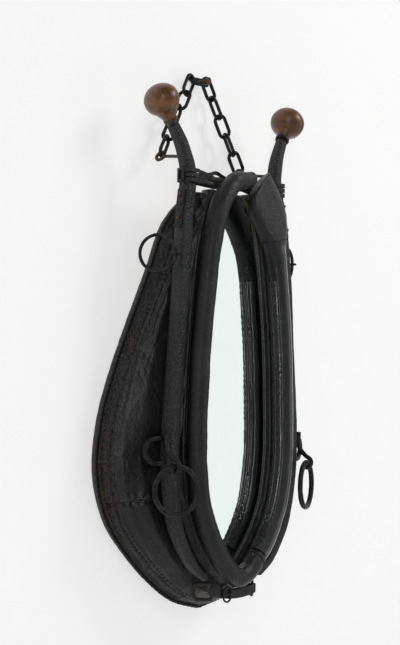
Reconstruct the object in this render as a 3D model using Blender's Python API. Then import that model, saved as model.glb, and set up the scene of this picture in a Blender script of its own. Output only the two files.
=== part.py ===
"""A leather horse collar made into a wall mirror, hung by a chain from a nail.

Metres, +Z up. The origin is on the nail's axis where it leaves the wall (the plane Y = 0).
The collar faces -Y and +X is to the right of someone who faces the mirror.
"""

import math

import bmesh
import bpy
import numpy as np

# ---- Driving dimensions ------------------------------------------------------------------

GAP = 0.0004  # clearance between touching pieces

NAIL_RADIUS = 0.0022
NAIL_HEAD_RADIUS = 0.0060
NAIL_HEAD_Y = -0.0380
NAIL_TIP_Y = 0.0250

LINK_WIRE = 0.0029  # radius of the chain's wire
LINK_HALF_LENGTH = 0.0196  # centre of a link to the middle of its end bar
LINK_HALF_WIDTH = 0.0093
LINK_GAP = 0.0008
FIRST_LINK_GAP = 0.0031  # the first links hang askew in the tilted top link
LINK_PITCH = 2 * LINK_HALF_LENGTH - 2 * LINK_WIRE - LINK_GAP
LINKS_PER_LEG = 5
CHAIN_Y = -0.0150  # the chain's plane at the nail
CHAIN_END_Y = -0.0320  # and where it meets the collar
TOP_LINK_TILT = math.radians(36)
LEG_RUN = {"left": 0.56, "right": 0.45}  # sideways part of each leg's slope
LEG_TWIST = {"left": (-4, 68, -22, 62, -20), "right": (4, -72, 22, -60, 20)}  # degrees

EYE_RADIUS = 0.0078  # hooks that hold the chain, centre line
EYE_WIRE = 0.0026
EYE_PLAY = 0.0017  # room for the collar to tilt on the chain's last links

ROLL_RADIUS = 0.0165
ROLL_Y = -0.1150
ROLL_SEAM_Z = -0.7620  # where the two lengths of roll meet, low on the right side
CAP_BOTTOM_Z = -0.2640
ROLL_CROSSING = ((0.018, ROLL_Y, -0.1610), (0.000, ROLL_Y, -0.1650))  # over the top
# The cap's stations, as (inner x, inner z, outer x, outer z, front y, back y), going up.
CAP = (
    (0.0520, -0.2650, 0.0985, -0.2540, -0.1310, -0.0990),
    (0.0380, -0.2460, 0.1040, -0.2300, -0.1290, -0.1020),
    (0.0250, -0.2270, 0.1045, -0.2120, -0.1270, -0.1030),
    (0.0150, -0.2080, 0.0990, -0.1960, -0.1250, -0.1035),
    (0.0160, -0.1910, 0.0830, -0.1730, -0.1230, -0.1040),
    (0.0310, -0.1730, 0.0630, -0.1480, -0.1210, -0.1050),
)
# The roll's centre line, as (x, z), from the top of the right side to the bottom centre.
OPENING = (
    (0.024, -0.169), (0.044, -0.186), (0.066, -0.219), (0.084, -0.281), (0.096, -0.360),
    (0.105, -0.440), (0.109, -0.515), (0.111, -0.565), (0.110, -0.612), (0.101, -0.670),
    (0.088, -0.705), (0.065, -0.744), (0.040, -0.773), (0.020, -0.791), (0.000, -0.798),
)
THROAT_OFFSET = 0.0085  # the throat's wall, inside the roll's centre line
# The padded body's outer edge, as (x, y, z, y of the back), paired along the opening.
RIM = (
    (0.063, -0.065, -0.187, -0.046), (0.083, -0.062, -0.199, -0.043),
    (0.106, -0.057, -0.220, -0.038), (0.125, -0.051, -0.250, -0.033),
    (0.141, -0.045, -0.300, -0.027), (0.157, -0.039, -0.345, -0.020),
    (0.184, -0.031, -0.415, -0.012), (0.208, -0.025, -0.480, -0.005),
    (0.227, -0.022, -0.540, -0.003), (0.237, -0.021, -0.605, -0.003),
    (0.232, -0.021, -0.655, -0.003), (0.209, -0.021, -0.710, -0.003),
    (0.169, -0.023, -0.757, -0.003), (0.118, -0.026, -0.802, -0.003),
    (0.064, -0.030, -0.835, -0.004), (0.000, -0.032, -0.851, -0.004),
)
BODY_RIBS = 17
BODY_FRONT_Y = -0.0810
BODY_NECK_Y = -0.0940  # the leather's front edge, just behind the roll
LEATHER = 0.0028
CORE_GAP = 0.0024  # room for the faceted leather over the straw
LINING = 0.0025
PIPING_RADIUS = 0.0022

# The hame's centre line, as (x, y, z), from its top end to its lower end.
HAME = (
    (0.1385, -0.080, -0.0900), (0.1215, -0.084, -0.1200), (0.1105, -0.088, -0.1580),
    (0.1135, -0.090, -0.1900), (0.1225, -0.092, -0.2400), (0.1305, -0.095, -0.3300),
    (0.1380, -0.095, -0.4240), (0.1470, -0.095, -0.5170), (0.1510, -0.095, -0.5800),
    (0.1500, -0.095, -0.6400), (0.1400, -0.095, -0.7000), (0.1240, -0.096, -0.7380),
    (0.0980, -0.098, -0.7740), (0.0680, -0.101, -0.7960),
)
# The hame's width and thickness at the same points.
HAME_SECTION = (
    (0.0165, 0.0165), (0.0190, 0.0195), (0.0215, 0.0220), (0.0225, 0.0230), (0.0235, 0.0240),
    (0.0250, 0.0260), (0.0250, 0.0260), (0.0250, 0.0260), (0.0250, 0.0260), (0.0240, 0.0250),
    (0.0215, 0.0230), (0.0190, 0.0200), (0.0150, 0.0160), (0.0110, 0.0110),
)

KNOB_RADIUS = 0.0282
KNOB_HALF_HEIGHT = 0.0252
KNOB_NECK_RADIUS = 0.0085
KNOB_NECK_LENGTH = 0.0150
KNOB_LEAN = np.array((0.52, 0.10, 0.85))

PLATE_TOP_Z = -0.1900
PLATE_BOTTOM_Z = -0.2620
PLATE_THICKNESS = 0.0030
PLATE_WIDTH = 0.0140
# The left rivets have domed heads; on the right the bare shanks stand out.
RIVET_PROFILE = {
    "left": ((0.0036, 0.0), (0.0034, 0.0010), (0.0024, 0.0020), (0.0008, 0.0025)),
    "right": ((0.0030, 0.0), (0.0030, 0.0068), (0.0024, 0.0080), (0.0008, 0.0085)),
}
RIVET_HEIGHTS = {"upper": -0.1980, "lower": -0.2380}

TERRET_Z = -0.2940
TERRET_RADIUS = 0.0285  # rein ring, centre line
TERRET_WIRE = 0.0027
TERRET_EYE_RADIUS = 0.0053
TERRET_EYE_WIRE = 0.0018
TERRET_FORWARD = 0.0055  # the eye sits in front of the hame's middle
TERRET_BACK = math.radians(62)  # how far the rein ring is turned back from sideways

STAPLE_TOP_Z = -0.5760
STAPLE_HEIGHT = 0.0380
STAPLE_REACH = 0.0350
STAPLE_WIRE = 0.0042
STAPLE_BACK = math.radians(16)

DRAFT_RADIUS = 0.0370  # tug ring, centre line
DRAFT_WIRE = 0.0043
DRAFT_HOOK_WIRE = 0.0042
DRAFT_RING_TOP = (0.1660, -0.1220, -0.6180)
DRAFT_BACK = math.radians(22)
# The draft hook's shank, as (out from the hame's side, back from its front face, z).
HOOK_SHANK = ((0.0, 0.0090, -0.5680), (0.0, 0.0090, -0.5880), (0.0005, 0.0030, -0.5990))

LASHING_TOP_Z = -0.1590
LASHING_SLOPE = 0.018  # the turns run down to the right
LASHING_STEP = 0.0078
LASHING_WIDTH = 0.0070
LASHING_THICKNESS = 0.0022
LASHING_FRONT_Y = -0.0935  # the turns' height over the body, between the hames
KNOT_HALF_LENGTH = 0.0090
KNOT_HALF_WIDTH = 0.0042
KNOT_CORD = 0.0020  # radius

BUCKLE_X = -0.0240
BUCKLE_WIRE = 0.0016
BUCKLE_HALF_HEIGHT = 0.0125
BUCKLE_HALF_WIDTH = 0.0100
TONGUE_RADIUS = 0.0012
STRAP_WIDTH = 0.0150
STRAP_THICKNESS = 0.0028
STRAP_Z = -0.8190
STRAP_SAG = 0.0060
STRAP_END_X = 0.0500
LOOP_WIRE = 0.0024
LOOP_HALF_WIDTH = 0.0160
LOOP_HALF_HEIGHT = 0.0125
LOOP_CORNER = 0.0050
LOOP_TURN = math.radians(-48)  # the loops slant back under the collar

MIRROR_Y = -0.0850
MIRROR_THICKNESS = 0.0040
BACKING_THICKNESS = 0.0060
MIRROR_MARGIN = 0.0012
MIRROR_TOP_Z = -0.1870
BEAD_RADIUS = 0.0014

SIDES = {"left": -1.0, "right": 1.0}

# ---- Materials ---------------------------------------------------------------------------


def material(name, color, roughness, metallic=0.0):
    made = bpy.data.materials.new(name)
    made.use_nodes = True
    shader = made.node_tree.nodes["Principled BSDF"]
    shader.inputs["Base Color"].default_value = (*color, 1.0)
    shader.inputs["Roughness"].default_value = roughness
    shader.inputs["Metallic"].default_value = metallic
    return made


# ---- Shape helpers -----------------------------------------------------------------------


def finish(name, mesh, finish_material, smooth_angle=40.0):
    """Add a mesh to the scene as a named object with one material."""
    mesh.materials.append(finish_material)
    mesh.shade_smooth()
    mesh.set_sharp_from_angle(angle=math.radians(smooth_angle))
    made = bpy.data.objects.new(name, mesh)
    bpy.context.scene.collection.objects.link(made)
    return made


def loft(name, rings, finish_material, closed=False, smooth_angle=40.0):
    """Skin a row of outlines that have the same number of points."""
    bm = bmesh.new()
    rows = [[bm.verts.new(p) for p in ring] for ring in rings]
    count = len(rows[0])
    pairs = list(zip(rows, rows[1:]))
    if closed:
        pairs.append((rows[-1], rows[0]))
    for here, there in pairs:
        for k in range(count):
            following = (k + 1) % count
            bm.faces.new((here[k], here[following], there[following], there[k]))
    if not closed:
        bm.faces.new(rows[0])
        bm.faces.new(list(reversed(rows[-1])))
    bmesh.ops.recalc_face_normals(bm, faces=bm.faces)
    mesh = bpy.data.meshes.new(name)
    bm.to_mesh(mesh)
    bm.free()
    return finish(name, mesh, finish_material, smooth_angle)


def tube(name, points, radius, finish_material, closed=False, resolution=2, taper=None):
    """A round bar along a line of points, as a bevelled curve with filled ends."""
    curve = bpy.data.curves.new(name, "CURVE")
    curve.dimensions = "3D"
    curve.bevel_depth = radius
    curve.bevel_resolution = resolution
    curve.use_fill_caps = True
    spline = curve.splines.new("POLY")
    spline.points.add(len(points) - 1)
    for k, p in enumerate(points):
        spline.points[k].co = (*p, 1.0)
        if taper is not None:
            spline.points[k].radius = taper[k]
    spline.use_cyclic_u = closed
    curve.materials.append(finish_material)
    spline.use_smooth = True
    made = bpy.data.objects.new(name, curve)
    bpy.context.scene.collection.objects.link(made)
    return made


def smooth_line(points, count):
    """Even steps along a Catmull-Rom curve through some points."""
    p = np.array(points, dtype=float)
    p = np.vstack((2 * p[0] - p[1], p, 2 * p[-1] - p[-2]))
    fine = []
    steps = 16
    for k in range(1, len(p) - 2):
        for t in np.arange(steps) / steps:
            a, b, c, d = p[k - 1 : k + 3]
            fine.append(
                0.5 * (2 * b + (c - a) * t + (2 * a - 5 * b + 4 * c - d) * t**2
                       + (3 * b - a - 3 * c + d) * t**3)
            )
    fine.append(p[-2])
    fine = np.array(fine)
    run = np.concatenate(([0], np.cumsum(np.linalg.norm(np.diff(fine, axis=0), axis=1))))
    even = np.linspace(0, run[-1], count)
    return np.column_stack([np.interp(even, run, fine[:, k]) for k in range(p.shape[1])])


def directions(line):
    """The unit direction of travel at each point of a line."""
    step = np.gradient(np.asarray(line), axis=0)
    return step / np.linalg.norm(step, axis=1)[:, None]


def mirrored(points, sign):
    """Points of the right side, moved to the side that the sign gives."""
    return np.asarray(points) * (sign, 1.0, 1.0)


def oval(center, along, across, half_length, half_width, steps=5):
    """A stadium's centre line: two half circles joined by straight sides."""
    straight = half_length - half_width
    points = []
    for end in (1, -1):
        for k in range(steps + 1):
            turn = math.pi * (k / steps) - math.pi / 2
            reach = end * (straight + half_width * math.cos(turn))
            side = end * half_width * math.sin(turn)
            points.append(np.asarray(center) + reach * along + side * across)
    return points


def rounded_box(center, along, across, half_length, half_width, corner, steps=3):
    """The centre line of a rectangle with rounded corners."""
    points = []
    for a, b, start in ((1, 1, 0), (-1, 1, 90), (-1, -1, 180), (1, -1, 270)):
        for k in range(steps + 1):
            turn = math.radians(start + 90 * k / steps)
            reach = a * (half_length - corner) + corner * math.cos(turn)
            side = b * (half_width - corner) + corner * math.sin(turn)
            points.append(np.asarray(center) + reach * along + side * across)
    return points


def circle(center, first, second, radius, steps, start=0.0, turn=2 * math.pi, last=False):
    """Points on a circle in the plane of two unit vectors."""
    count = steps + 1 if last else steps
    angles = [start + turn * k / steps for k in range(count)]
    return [
        np.asarray(center) + radius * (math.cos(a) * first + math.sin(a) * second)
        for a in angles
    ]


def eye_line(foot, center, normal, radius, wire):
    """A shank from its foot to an eye, and round the eye as far as it can go."""
    toward = np.asarray(foot) - np.asarray(center)
    toward = toward - np.dot(toward, normal) * normal
    toward = toward / np.linalg.norm(toward)
    side = np.cross(normal, toward)
    shut = 2 * math.asin((wire + 0.0004) / radius)
    bend = 0.35
    ring = circle(center, toward, side, radius, 14, bend, 2 * math.pi - bend - shut, True)
    shank = [np.asarray(foot), 0.5 * (np.asarray(foot) + np.asarray(center) + radius * toward)]
    return shank + [np.asarray(center) + (radius + 0.6 * wire) * toward] + ring


def turned(name, profile, base, axis, finish_material, steps=20):
    """A turned piece: rings of (radius, height) about an axis."""
    axis = np.asarray(axis) / np.linalg.norm(axis)
    first = np.cross(axis, (0.0, 1.0, 0.0))
    first = first / np.linalg.norm(first)
    second = np.cross(axis, first)
    rings = [
        circle(np.asarray(base) + height * axis, first, second, radius, steps)
        for radius, height in profile
    ]
    return loft(name, rings, finish_material, smooth_angle=50.0)


def washer(name, inner, outer, height, base, axis, finish_material, steps=16):
    """A ring with a square section and a hole through it."""
    axis = np.asarray(axis) / np.linalg.norm(axis)
    first = np.cross(axis, (0.0, 1.0, 0.0))
    first = first / np.linalg.norm(first)
    second = np.cross(axis, first)
    section = ((inner, 0.0), (outer, 0.0), (outer, height), (inner, height))
    rings = []
    for k in range(steps):
        turn = 2 * math.pi * k / steps
        out = math.cos(turn) * first + math.sin(turn) * second
        rings.append([np.asarray(base) + r * out + h * axis for r, h in section])
    return loft(name, rings, finish_material, closed=True)


def ribbon(name, line, up, width, thickness, finish_material, closed=False):
    """A flat strap along a line; up is the direction of its width."""
    travel = directions(line)
    if closed:
        wrapped = np.vstack((line[-1], line, line[0]))
        travel = directions(wrapped)[1:-1]
    rings = []
    for p, t in zip(line, travel):
        face = np.cross(t, up)
        face = face / np.linalg.norm(face)
        wide = np.cross(face, t)
        rings.append([
            p + a * wide * width / 2 + b * face * thickness / 2
            for a, b in ((-1, -0.5), (-0.9, -1), (0.9, -1), (1, -0.5),
                         (1, 0.5), (0.9, 1), (-0.9, 1), (-1, 0.5))
        ])
    return loft(name, rings, finish_material, closed=closed)


# ---- Nail and chain ----------------------------------------------------------------------


def make_nail(finish_material):
    """The nail that the top link lies on, with its head away from the wall."""
    profile = (
        (0.0006, 0.0), (NAIL_RADIUS, 0.010), (NAIL_RADIUS, NAIL_TIP_Y - NAIL_HEAD_Y - 0.004),
        (NAIL_HEAD_RADIUS, NAIL_TIP_Y - NAIL_HEAD_Y - 0.0025),
        (NAIL_HEAD_RADIUS * 0.9, NAIL_TIP_Y - NAIL_HEAD_Y),
    )
    axis = np.array((0.0, -1.0, 0.0))
    first = np.array((1.0, 0.0, 0.0))
    second = np.array((0.0, 0.0, 1.0))
    start = np.array((0.0, NAIL_TIP_Y, 0.0))
    rings = [circle(start + h * axis, first, second, r, 12) for r, h in profile]
    loft("wall_nail", rings, finish_material)


def leg_frame(side):
    """Where a chain leg's first link hangs, and the direction in which the leg runs."""
    sign = SIDES[side]
    run = LEG_RUN[side]
    length = 2 * LINK_HALF_LENGTH + (LINKS_PER_LEG - 1) * LINK_PITCH
    slope_y = (CHAIN_END_Y - CHAIN_Y) / length
    down = math.sqrt(1 - run**2 - slope_y**2)
    travel = np.array((sign * run, slope_y, -down))
    bar = np.array((sign * LINK_HALF_LENGTH, CHAIN_Y, top_link_height()))
    start = bar - (2 * LINK_WIRE + FIRST_LINK_GAP) * travel
    return start, travel, length


def top_link_height():
    """The nail passes through the tilted top link, whose back bar lies on it."""
    drop = LINK_HALF_WIDTH * math.sin(TOP_LINK_TILT)
    return NAIL_RADIUS + LINK_WIRE + GAP - drop


def chain_end(side):
    """The middle of the last link's lower bar, which is on the collar's tilt axis."""
    start, travel, length = leg_frame(side)
    return start + travel * length


def make_chain(finish_material):
    along = np.array((1.0, 0.0, 0.0))
    across = np.array((0.0, math.cos(TOP_LINK_TILT), math.sin(TOP_LINK_TILT)))
    center = (0.0, CHAIN_Y, top_link_height())
    line = oval(center, along, across, LINK_HALF_LENGTH, LINK_HALF_WIDTH)
    tube("chain_link_top", line, LINK_WIRE, finish_material, closed=True)
    for side in SIDES:
        start, travel, _ = leg_frame(side)
        flat = np.cross(travel, (0.0, 1.0, 0.0))
        flat = flat / np.linalg.norm(flat)
        deep = np.cross(travel, flat)
        for k in range(LINKS_PER_LEG):
            turn = math.radians(LEG_TWIST[side][k])
            wide = math.cos(turn) * flat + math.sin(turn) * deep
            center = start + travel * (LINK_HALF_LENGTH + k * LINK_PITCH)
            line = oval(center, travel, wide, LINK_HALF_LENGTH, LINK_HALF_WIDTH)
            tube(f"chain_link_{side}_{k + 1}", line, LINK_WIRE, finish_material, closed=True)


def make_chain_hooks(finish_material):
    """Rusty eye hooks in the backs of the hames, which the chain's last links hang in."""
    for side, sign in SIDES.items():
        bar = chain_end(side)
        center = bar - np.array((0.0, 0.0, EYE_RADIUS - EYE_WIRE - LINK_WIRE - EYE_PLAY))
        hame = hame_at(center[2] - 0.004)
        foot_y = hame["center"][1] + hame["thickness"] / 2 + 0.0014
        foot = np.array((sign * (hame["center"][0] - 0.002), foot_y, center[2] - 0.004))
        _, travel, _ = leg_frame(side)
        across = np.cross(travel, (0.0, 1.0, 0.0))
        across = across / np.linalg.norm(across)
        line = eye_line(foot, center, across, EYE_RADIUS, EYE_WIRE)
        tube(f"chain_hook_{side}", line, EYE_WIRE, finish_material)


# ---- Hames and their iron ----------------------------------------------------------------


def hame_line(count):
    """The right hame's stations: centre, width and thickness, evenly spaced."""
    rows = [(*p, *s) for p, s in zip(HAME, HAME_SECTION)]
    return smooth_line(rows, count)


def hame_at(z):
    """The right hame's centre, outward direction and section at a height."""
    rows = hame_line(160)
    travel = directions(rows[:, :3])
    k = int(np.argmin(np.abs(rows[:, 2] - z)))
    outward = np.cross(travel[k], (0.0, 1.0, 0.0))
    outward = outward / np.linalg.norm(outward)
    if outward[0] < 0:
        outward = -outward
    return {
        "center": rows[k, :3], "outward": outward, "travel": travel[k],
        "width": rows[k, 3], "thickness": rows[k, 4],
    }


def make_hames(finish_material):
    corner = 0.30  # share of each half side that the rounded corner takes
    shape = (
        (-1, -1 + corner), (-1 + corner, -1), (1 - corner, -1), (1, -1 + corner),
        (1, 1 - corner), (1 - corner, 1), (-1 + corner, 1), (-1, 1 - corner),
    )
    rows = hame_line(28)
    travel = directions(rows[:, :3])
    for side, sign in SIDES.items():
        rings = []
        for row, t in zip(rows, travel):
            out = np.cross(t, (0.0, 1.0, 0.0))
            out = out / np.linalg.norm(out)
            deep = np.cross(out, t)
            ring = [
                row[:3] + out * a * row[3] / 2 + deep * b * row[4] / 2 for a, b in shape
            ]
            rings.append(mirrored(ring, sign))
        loft(f"hame_{side}", rings, finish_material, smooth_angle=50.0)


def make_knobs(wood, dark_metal):
    """Turned wooden knobs on the hames' top ends, each with a ferrule at its neck."""
    rows = hame_line(34)
    profile = [(KNOB_NECK_RADIUS * 0.9, 0.0), (KNOB_NECK_RADIUS, 0.004),
               (KNOB_NECK_RADIUS * 1.08, 0.009), (KNOB_NECK_RADIUS * 1.40, 0.0145)]
    middle = KNOB_NECK_LENGTH + KNOB_HALF_HEIGHT * 0.92
    for k in range(9):
        turn = math.radians(-58 + k * 144 / 8)
        profile.append((KNOB_RADIUS * math.cos(turn), middle + KNOB_HALF_HEIGHT * math.sin(turn)))
    for side, sign in SIDES.items():
        base = mirrored(rows[0, :3] + KNOB_LEAN * 0.0045, sign)
        axis = mirrored(KNOB_LEAN, sign)
        turned(f"knob_{side}", profile, base, axis, wood)
        washer(f"ferrule_{side}", KNOB_NECK_RADIUS + GAP + 0.0003, KNOB_NECK_RADIUS + 0.0032,
               0.0050, base + axis / np.linalg.norm(axis) * 0.0010, axis, dark_metal)


def make_side_plates(iron):
    """Flat iron straps riveted to the outer sides of the hames below the lashing."""
    rows = hame_line(200)
    travel = directions(rows[:, :3])
    inside = (rows[:, 2] < PLATE_TOP_Z) & (rows[:, 2] > PLATE_BOTTOM_Z)
    chosen = np.where(inside)[0][::4]
    for side, sign in SIDES.items():
        rings = []
        for k in chosen:
            out = np.cross(travel[k], (0.0, 1.0, 0.0))
            out = out / np.linalg.norm(out)
            out = out if out[0] > 0 else -out
            face = rows[k, :3] + out * (rows[k, 3] / 2 + GAP)
            ring = [
                face + out * a * PLATE_THICKNESS + np.array((0.0, b * PLATE_WIDTH / 2, 0.0))
                for a, b in ((0, -1), (0.8, -1), (1, -0.85), (1, 0.85), (0.8, 1), (0, 1))
            ]
            rings.append(mirrored(ring, sign))
        loft(f"hame_plate_{side}", rings, iron)
        for place, z in RIVET_HEIGHTS.items():
            here = hame_at(z)
            seat = here["width"] / 2 + PLATE_THICKNESS + 2 * GAP
            base = mirrored(here["center"] + here["outward"] * seat, sign)
            axis = mirrored(here["outward"], sign)
            turned(f"rivet_{side}_{place}", RIVET_PROFILE[side], base, axis, iron, steps=10)


def terret_directions(sign):
    """The rein ring's outward direction, and the place of its wire in the eye."""
    out = np.array((sign * math.cos(TERRET_BACK), math.sin(TERRET_BACK), 0.0))
    here = hame_at(TERRET_Z)
    reach = here["width"] / 2 + TERRET_EYE_RADIUS + TERRET_EYE_WIRE + 0.0022
    middle = here["center"] - np.array((0.0, TERRET_FORWARD, 0.0))
    eye = mirrored(middle + here["outward"] * reach, sign)
    return out, eye, mirrored(middle + here["outward"] * here["width"] / 2, sign)


def make_terrets(iron):
    """Rein rings in eyes on the hames' outer sides. A ring turns about a vertical axis."""
    up = np.array((0.0, 0.0, 1.0))
    for side, sign in SIDES.items():
        out, eye, face = terret_directions(sign)
        foot = face + (eye - face) * (GAP + 0.0003) / np.linalg.norm(eye - face)
        line = eye_line(foot, eye, up, TERRET_EYE_RADIUS, TERRET_EYE_WIRE)
        tube(f"terret_eye_{side}", line, TERRET_EYE_WIRE, iron)
        line = circle(eye + out * TERRET_RADIUS, out, up, TERRET_RADIUS, 24)
        line = [p - eye for p in line]
        ring = tube(f"terret_ring_{side}", line, TERRET_WIRE, iron, closed=True)
        ring.location = eye


def make_draft_gear(iron):
    """Staple, hook and tug ring on each hame. A tug ring swings about its top."""
    up = np.array((0.0, 0.0, 1.0))
    for side, sign in SIDES.items():
        low_z = STAPLE_TOP_Z - STAPLE_HEIGHT
        middle = 0.5 * (STAPLE_TOP_Z + low_z)
        out = np.array((math.cos(STAPLE_BACK), math.sin(STAPLE_BACK), 0.0))
        bow = STAPLE_HEIGHT / 2
        points = []
        for z, leg in ((STAPLE_TOP_Z, 0), (low_z, 1)):
            here = hame_at(z)
            face = here["center"][0] + here["width"] / 2 + 0.0018
            start = np.array((face, here["center"][1], z))
            straight = [start, start + out * (STAPLE_REACH - bow) * 0.5]
            points.append(straight if leg == 0 else straight[::-1])
        here = hame_at(middle)
        heart = np.array((here["center"][0] + here["width"] / 2, here["center"][1], middle))
        heart = heart + out * (STAPLE_REACH - bow)
        arc = circle(heart, out, up, bow, 12, math.pi / 2, -math.pi, True)
        line = points[0] + arc + points[1]
        tube(f"draft_staple_{side}", mirrored(line, sign), STAPLE_WIRE, iron)

        top = np.array(DRAFT_RING_TOP)
        ahead = np.array((math.sin(DRAFT_BACK), -math.cos(DRAFT_BACK), 0.0))
        curl = DRAFT_WIRE + DRAFT_HOOK_WIRE + GAP
        arc = circle(top, ahead, up, curl, 12, math.radians(80), math.radians(-215), True)
        here = hame_at(-0.585)
        lying = here["center"][1] - here["thickness"] / 2 - DRAFT_HOOK_WIRE - GAP
        beside = here["center"][0] + here["width"] / 2 + DRAFT_HOOK_WIRE + GAP
        shank = [np.array((beside + x, lying + y, z)) for x, y, z in HOOK_SHANK]
        line = smooth_line(shank + arc, 20)
        taper = np.linspace(1.0, 0.80, len(line))
        tube(f"draft_hook_{side}", mirrored(line, sign), DRAFT_HOOK_WIRE, iron, taper=taper)

        flat = np.array((math.cos(DRAFT_BACK), math.sin(DRAFT_BACK), 0.0))
        line = circle(-up * DRAFT_RADIUS, flat, up, DRAFT_RADIUS, 24)
        ring = tube(f"draft_ring_{side}", mirrored(line, sign), DRAFT_WIRE, iron, closed=True)
        ring.location = mirrored(top, sign)


# ---- Leather -----------------------------------------------------------------------------


def make_lashing(leather):
    """Three turns of strap round both hames, and the bight of the knot on the left one."""
    here = hame_at(LASHING_TOP_Z - 2.4 * LASHING_STEP)
    clear = LASHING_THICKNESS / 2 + GAP + 0.0012
    outer = here["center"][0] + here["width"] / 2 + clear
    front = here["center"][1] - here["thickness"] / 2 - clear
    back = here["center"][1] + here["thickness"] / 2 + clear
    inner = here["center"][0] - here["width"] / 2
    half = [
        (0.040, LASHING_FRONT_Y), (inner - 0.012, LASHING_FRONT_Y - 0.0015), (inner, front),
        (outer - 0.003, front), (outer, front + 0.004), (outer, back - 0.004),
        (outer - 0.003, back), (inner, back), (0.040, back), (0.0, back),
    ]
    for k, place in enumerate(("upper", "middle", "lower")):
        z = LASHING_TOP_Z - k * LASHING_STEP
        right = [np.array((x, y, z)) for x, y in half]
        left = [p * (-1, 1, 1) for p in reversed(right[:-1])]
        line = np.array([np.array((0.0, LASHING_FRONT_Y, z))] + right + left)
        for p in line:
            p[2] -= LASHING_SLOPE * (p[0] + outer)
        ribbon(f"lashing_{place}", line, (0.0, 0.0, 1.0), LASHING_WIDTH, LASHING_THICKNESS,
               leather, closed=True)
    x = -(outer + LASHING_THICKNESS / 2 + 0.0030)
    knot = oval((x, here["center"][1] - 0.001, LASHING_TOP_Z - 1.1 * LASHING_STEP),
                np.array((0.0, 0.0, 1.0)), np.array((0.0, 1.0, 0.0)),
                KNOT_HALF_LENGTH, KNOT_HALF_WIDTH)
    tube("lashing_knot", knot, KNOT_CORD, leather, closed=True)


def roll_line(count):
    """The right half of the roll's centre line, from the top down to the bottom centre."""
    line = smooth_line(OPENING, count)
    return np.column_stack((line[:, 0], np.full(count, ROLL_Y), line[:, 1]))


def make_roll(leather):
    """The stuffed roll round the opening, in two lengths, and the flat cap at its top right."""
    right = roll_line(200)
    above_seam = right[:, 2] > ROLL_SEAM_Z
    long_line = np.vstack((ROLL_CROSSING, right[:-1] * (-1, 1, 1), right[~above_seam][::-1]))
    taper = np.ones(50)
    taper[:6] = np.linspace(0.66, 1.0, 6)
    tube("front_roll_left", smooth_line(long_line[::3], 50), ROLL_RADIUS, leather,
         resolution=3, taper=taper)
    below_cap = right[:, 2] < CAP_BOTTOM_Z
    short_line = right[above_seam & below_cap][2:-1]
    tube("front_roll_right", smooth_line(short_line[::3], 25), ROLL_RADIUS, leather, resolution=3)

    rings = []
    for inner_x, inner_z, outer_x, outer_z, front, back in CAP:
        inner = np.array((inner_x, 0.0, inner_z))
        outer = np.array((outer_x, 0.0, outer_z))
        span = outer - inner
        deep = back - front
        ring = []
        for a, b in ((0.0, 0.5), (0.06, 0.16), (0.25, 0.0), (0.62, 0.02), (0.90, 0.20),
                     (1.0, 0.62), (0.985, 0.92), (0.80, 1.0), (0.20, 1.0), (0.05, 0.84)):
            ring.append(inner + a * span + np.array((0.0, front + b * deep, 0.0)))
        rings.append(ring)
    loft("top_cap", rings, leather, smooth_angle=60.0)


def rib_lines(count):
    """Paired points down the right side: the throat's wall and the body's outer edge."""
    throat = smooth_line(OPENING[1:], count)
    travel = directions(throat)
    inward = np.column_stack((travel[:, 1], -travel[:, 0]))
    throat = throat + np.where(inward[:, :1] > 0, -inward, inward) * THROAT_OFFSET
    throat[-1] = (0.0, throat[-1, 1])
    rim = smooth_line(RIM, count)
    return throat, rim


def body_profile(width, rim_y, back_y):
    """The leather's section as (out from the throat, y), from the throat's back to the rim's."""
    groove = min(0.055, 0.45 * width)
    neck = min(0.014, 0.35 * width)
    points = [
        (0.0, back_y - 0.004), (0.0, 0.5 * (back_y + BODY_NECK_Y)), (0.0, BODY_NECK_Y + 0.004),
        (0.002, BODY_NECK_Y), (neck, BODY_NECK_Y + 0.002),
        (neck + 0.008 * min(1.0, width / 0.05), BODY_FRONT_Y), (groove, BODY_FRONT_Y),
    ]
    reach = width - groove
    depth = rim_y - BODY_FRONT_Y
    for turn in (62, 38, 18, 0):
        a = math.radians(turn)
        points.append((groove + reach * math.cos(a), rim_y - depth * math.sin(a)))
    points.append((width - 0.005, rim_y * 0.45 + back_y * 0.55))
    points.append((width - 0.016 * min(1.0, width / 0.06), back_y - 0.004))
    return points


def inset(points, distance):
    """An open outline moved inward, to the left of its run, by a distance."""
    p = np.array(points)
    step = np.diff(p, axis=0)
    step = step / np.linalg.norm(step, axis=1)[:, None]
    normal = np.column_stack((-step[:, 1], step[:, 0]))
    before = np.vstack((normal[:1], normal))
    after = np.vstack((normal, normal[-1:]))
    middle = before + after
    middle = middle / np.linalg.norm(middle, axis=1)[:, None]
    stretch = 1 / np.maximum(0.6, np.sum(middle * before, axis=1))
    return [tuple(q) for q in p + middle * (distance * stretch)[:, None]]


def section_points(throat, rim, profile):
    """Place a section's outline on the rib from the throat to the rim."""
    inner = np.array((throat[0], 0.0, throat[1]))
    outer = np.array((rim[0], 0.0, rim[2]))
    out = (outer - inner) / np.linalg.norm(outer - inner)
    return [inner + out * u + np.array((0.0, y, 0.0)) for u, y in profile]


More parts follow.
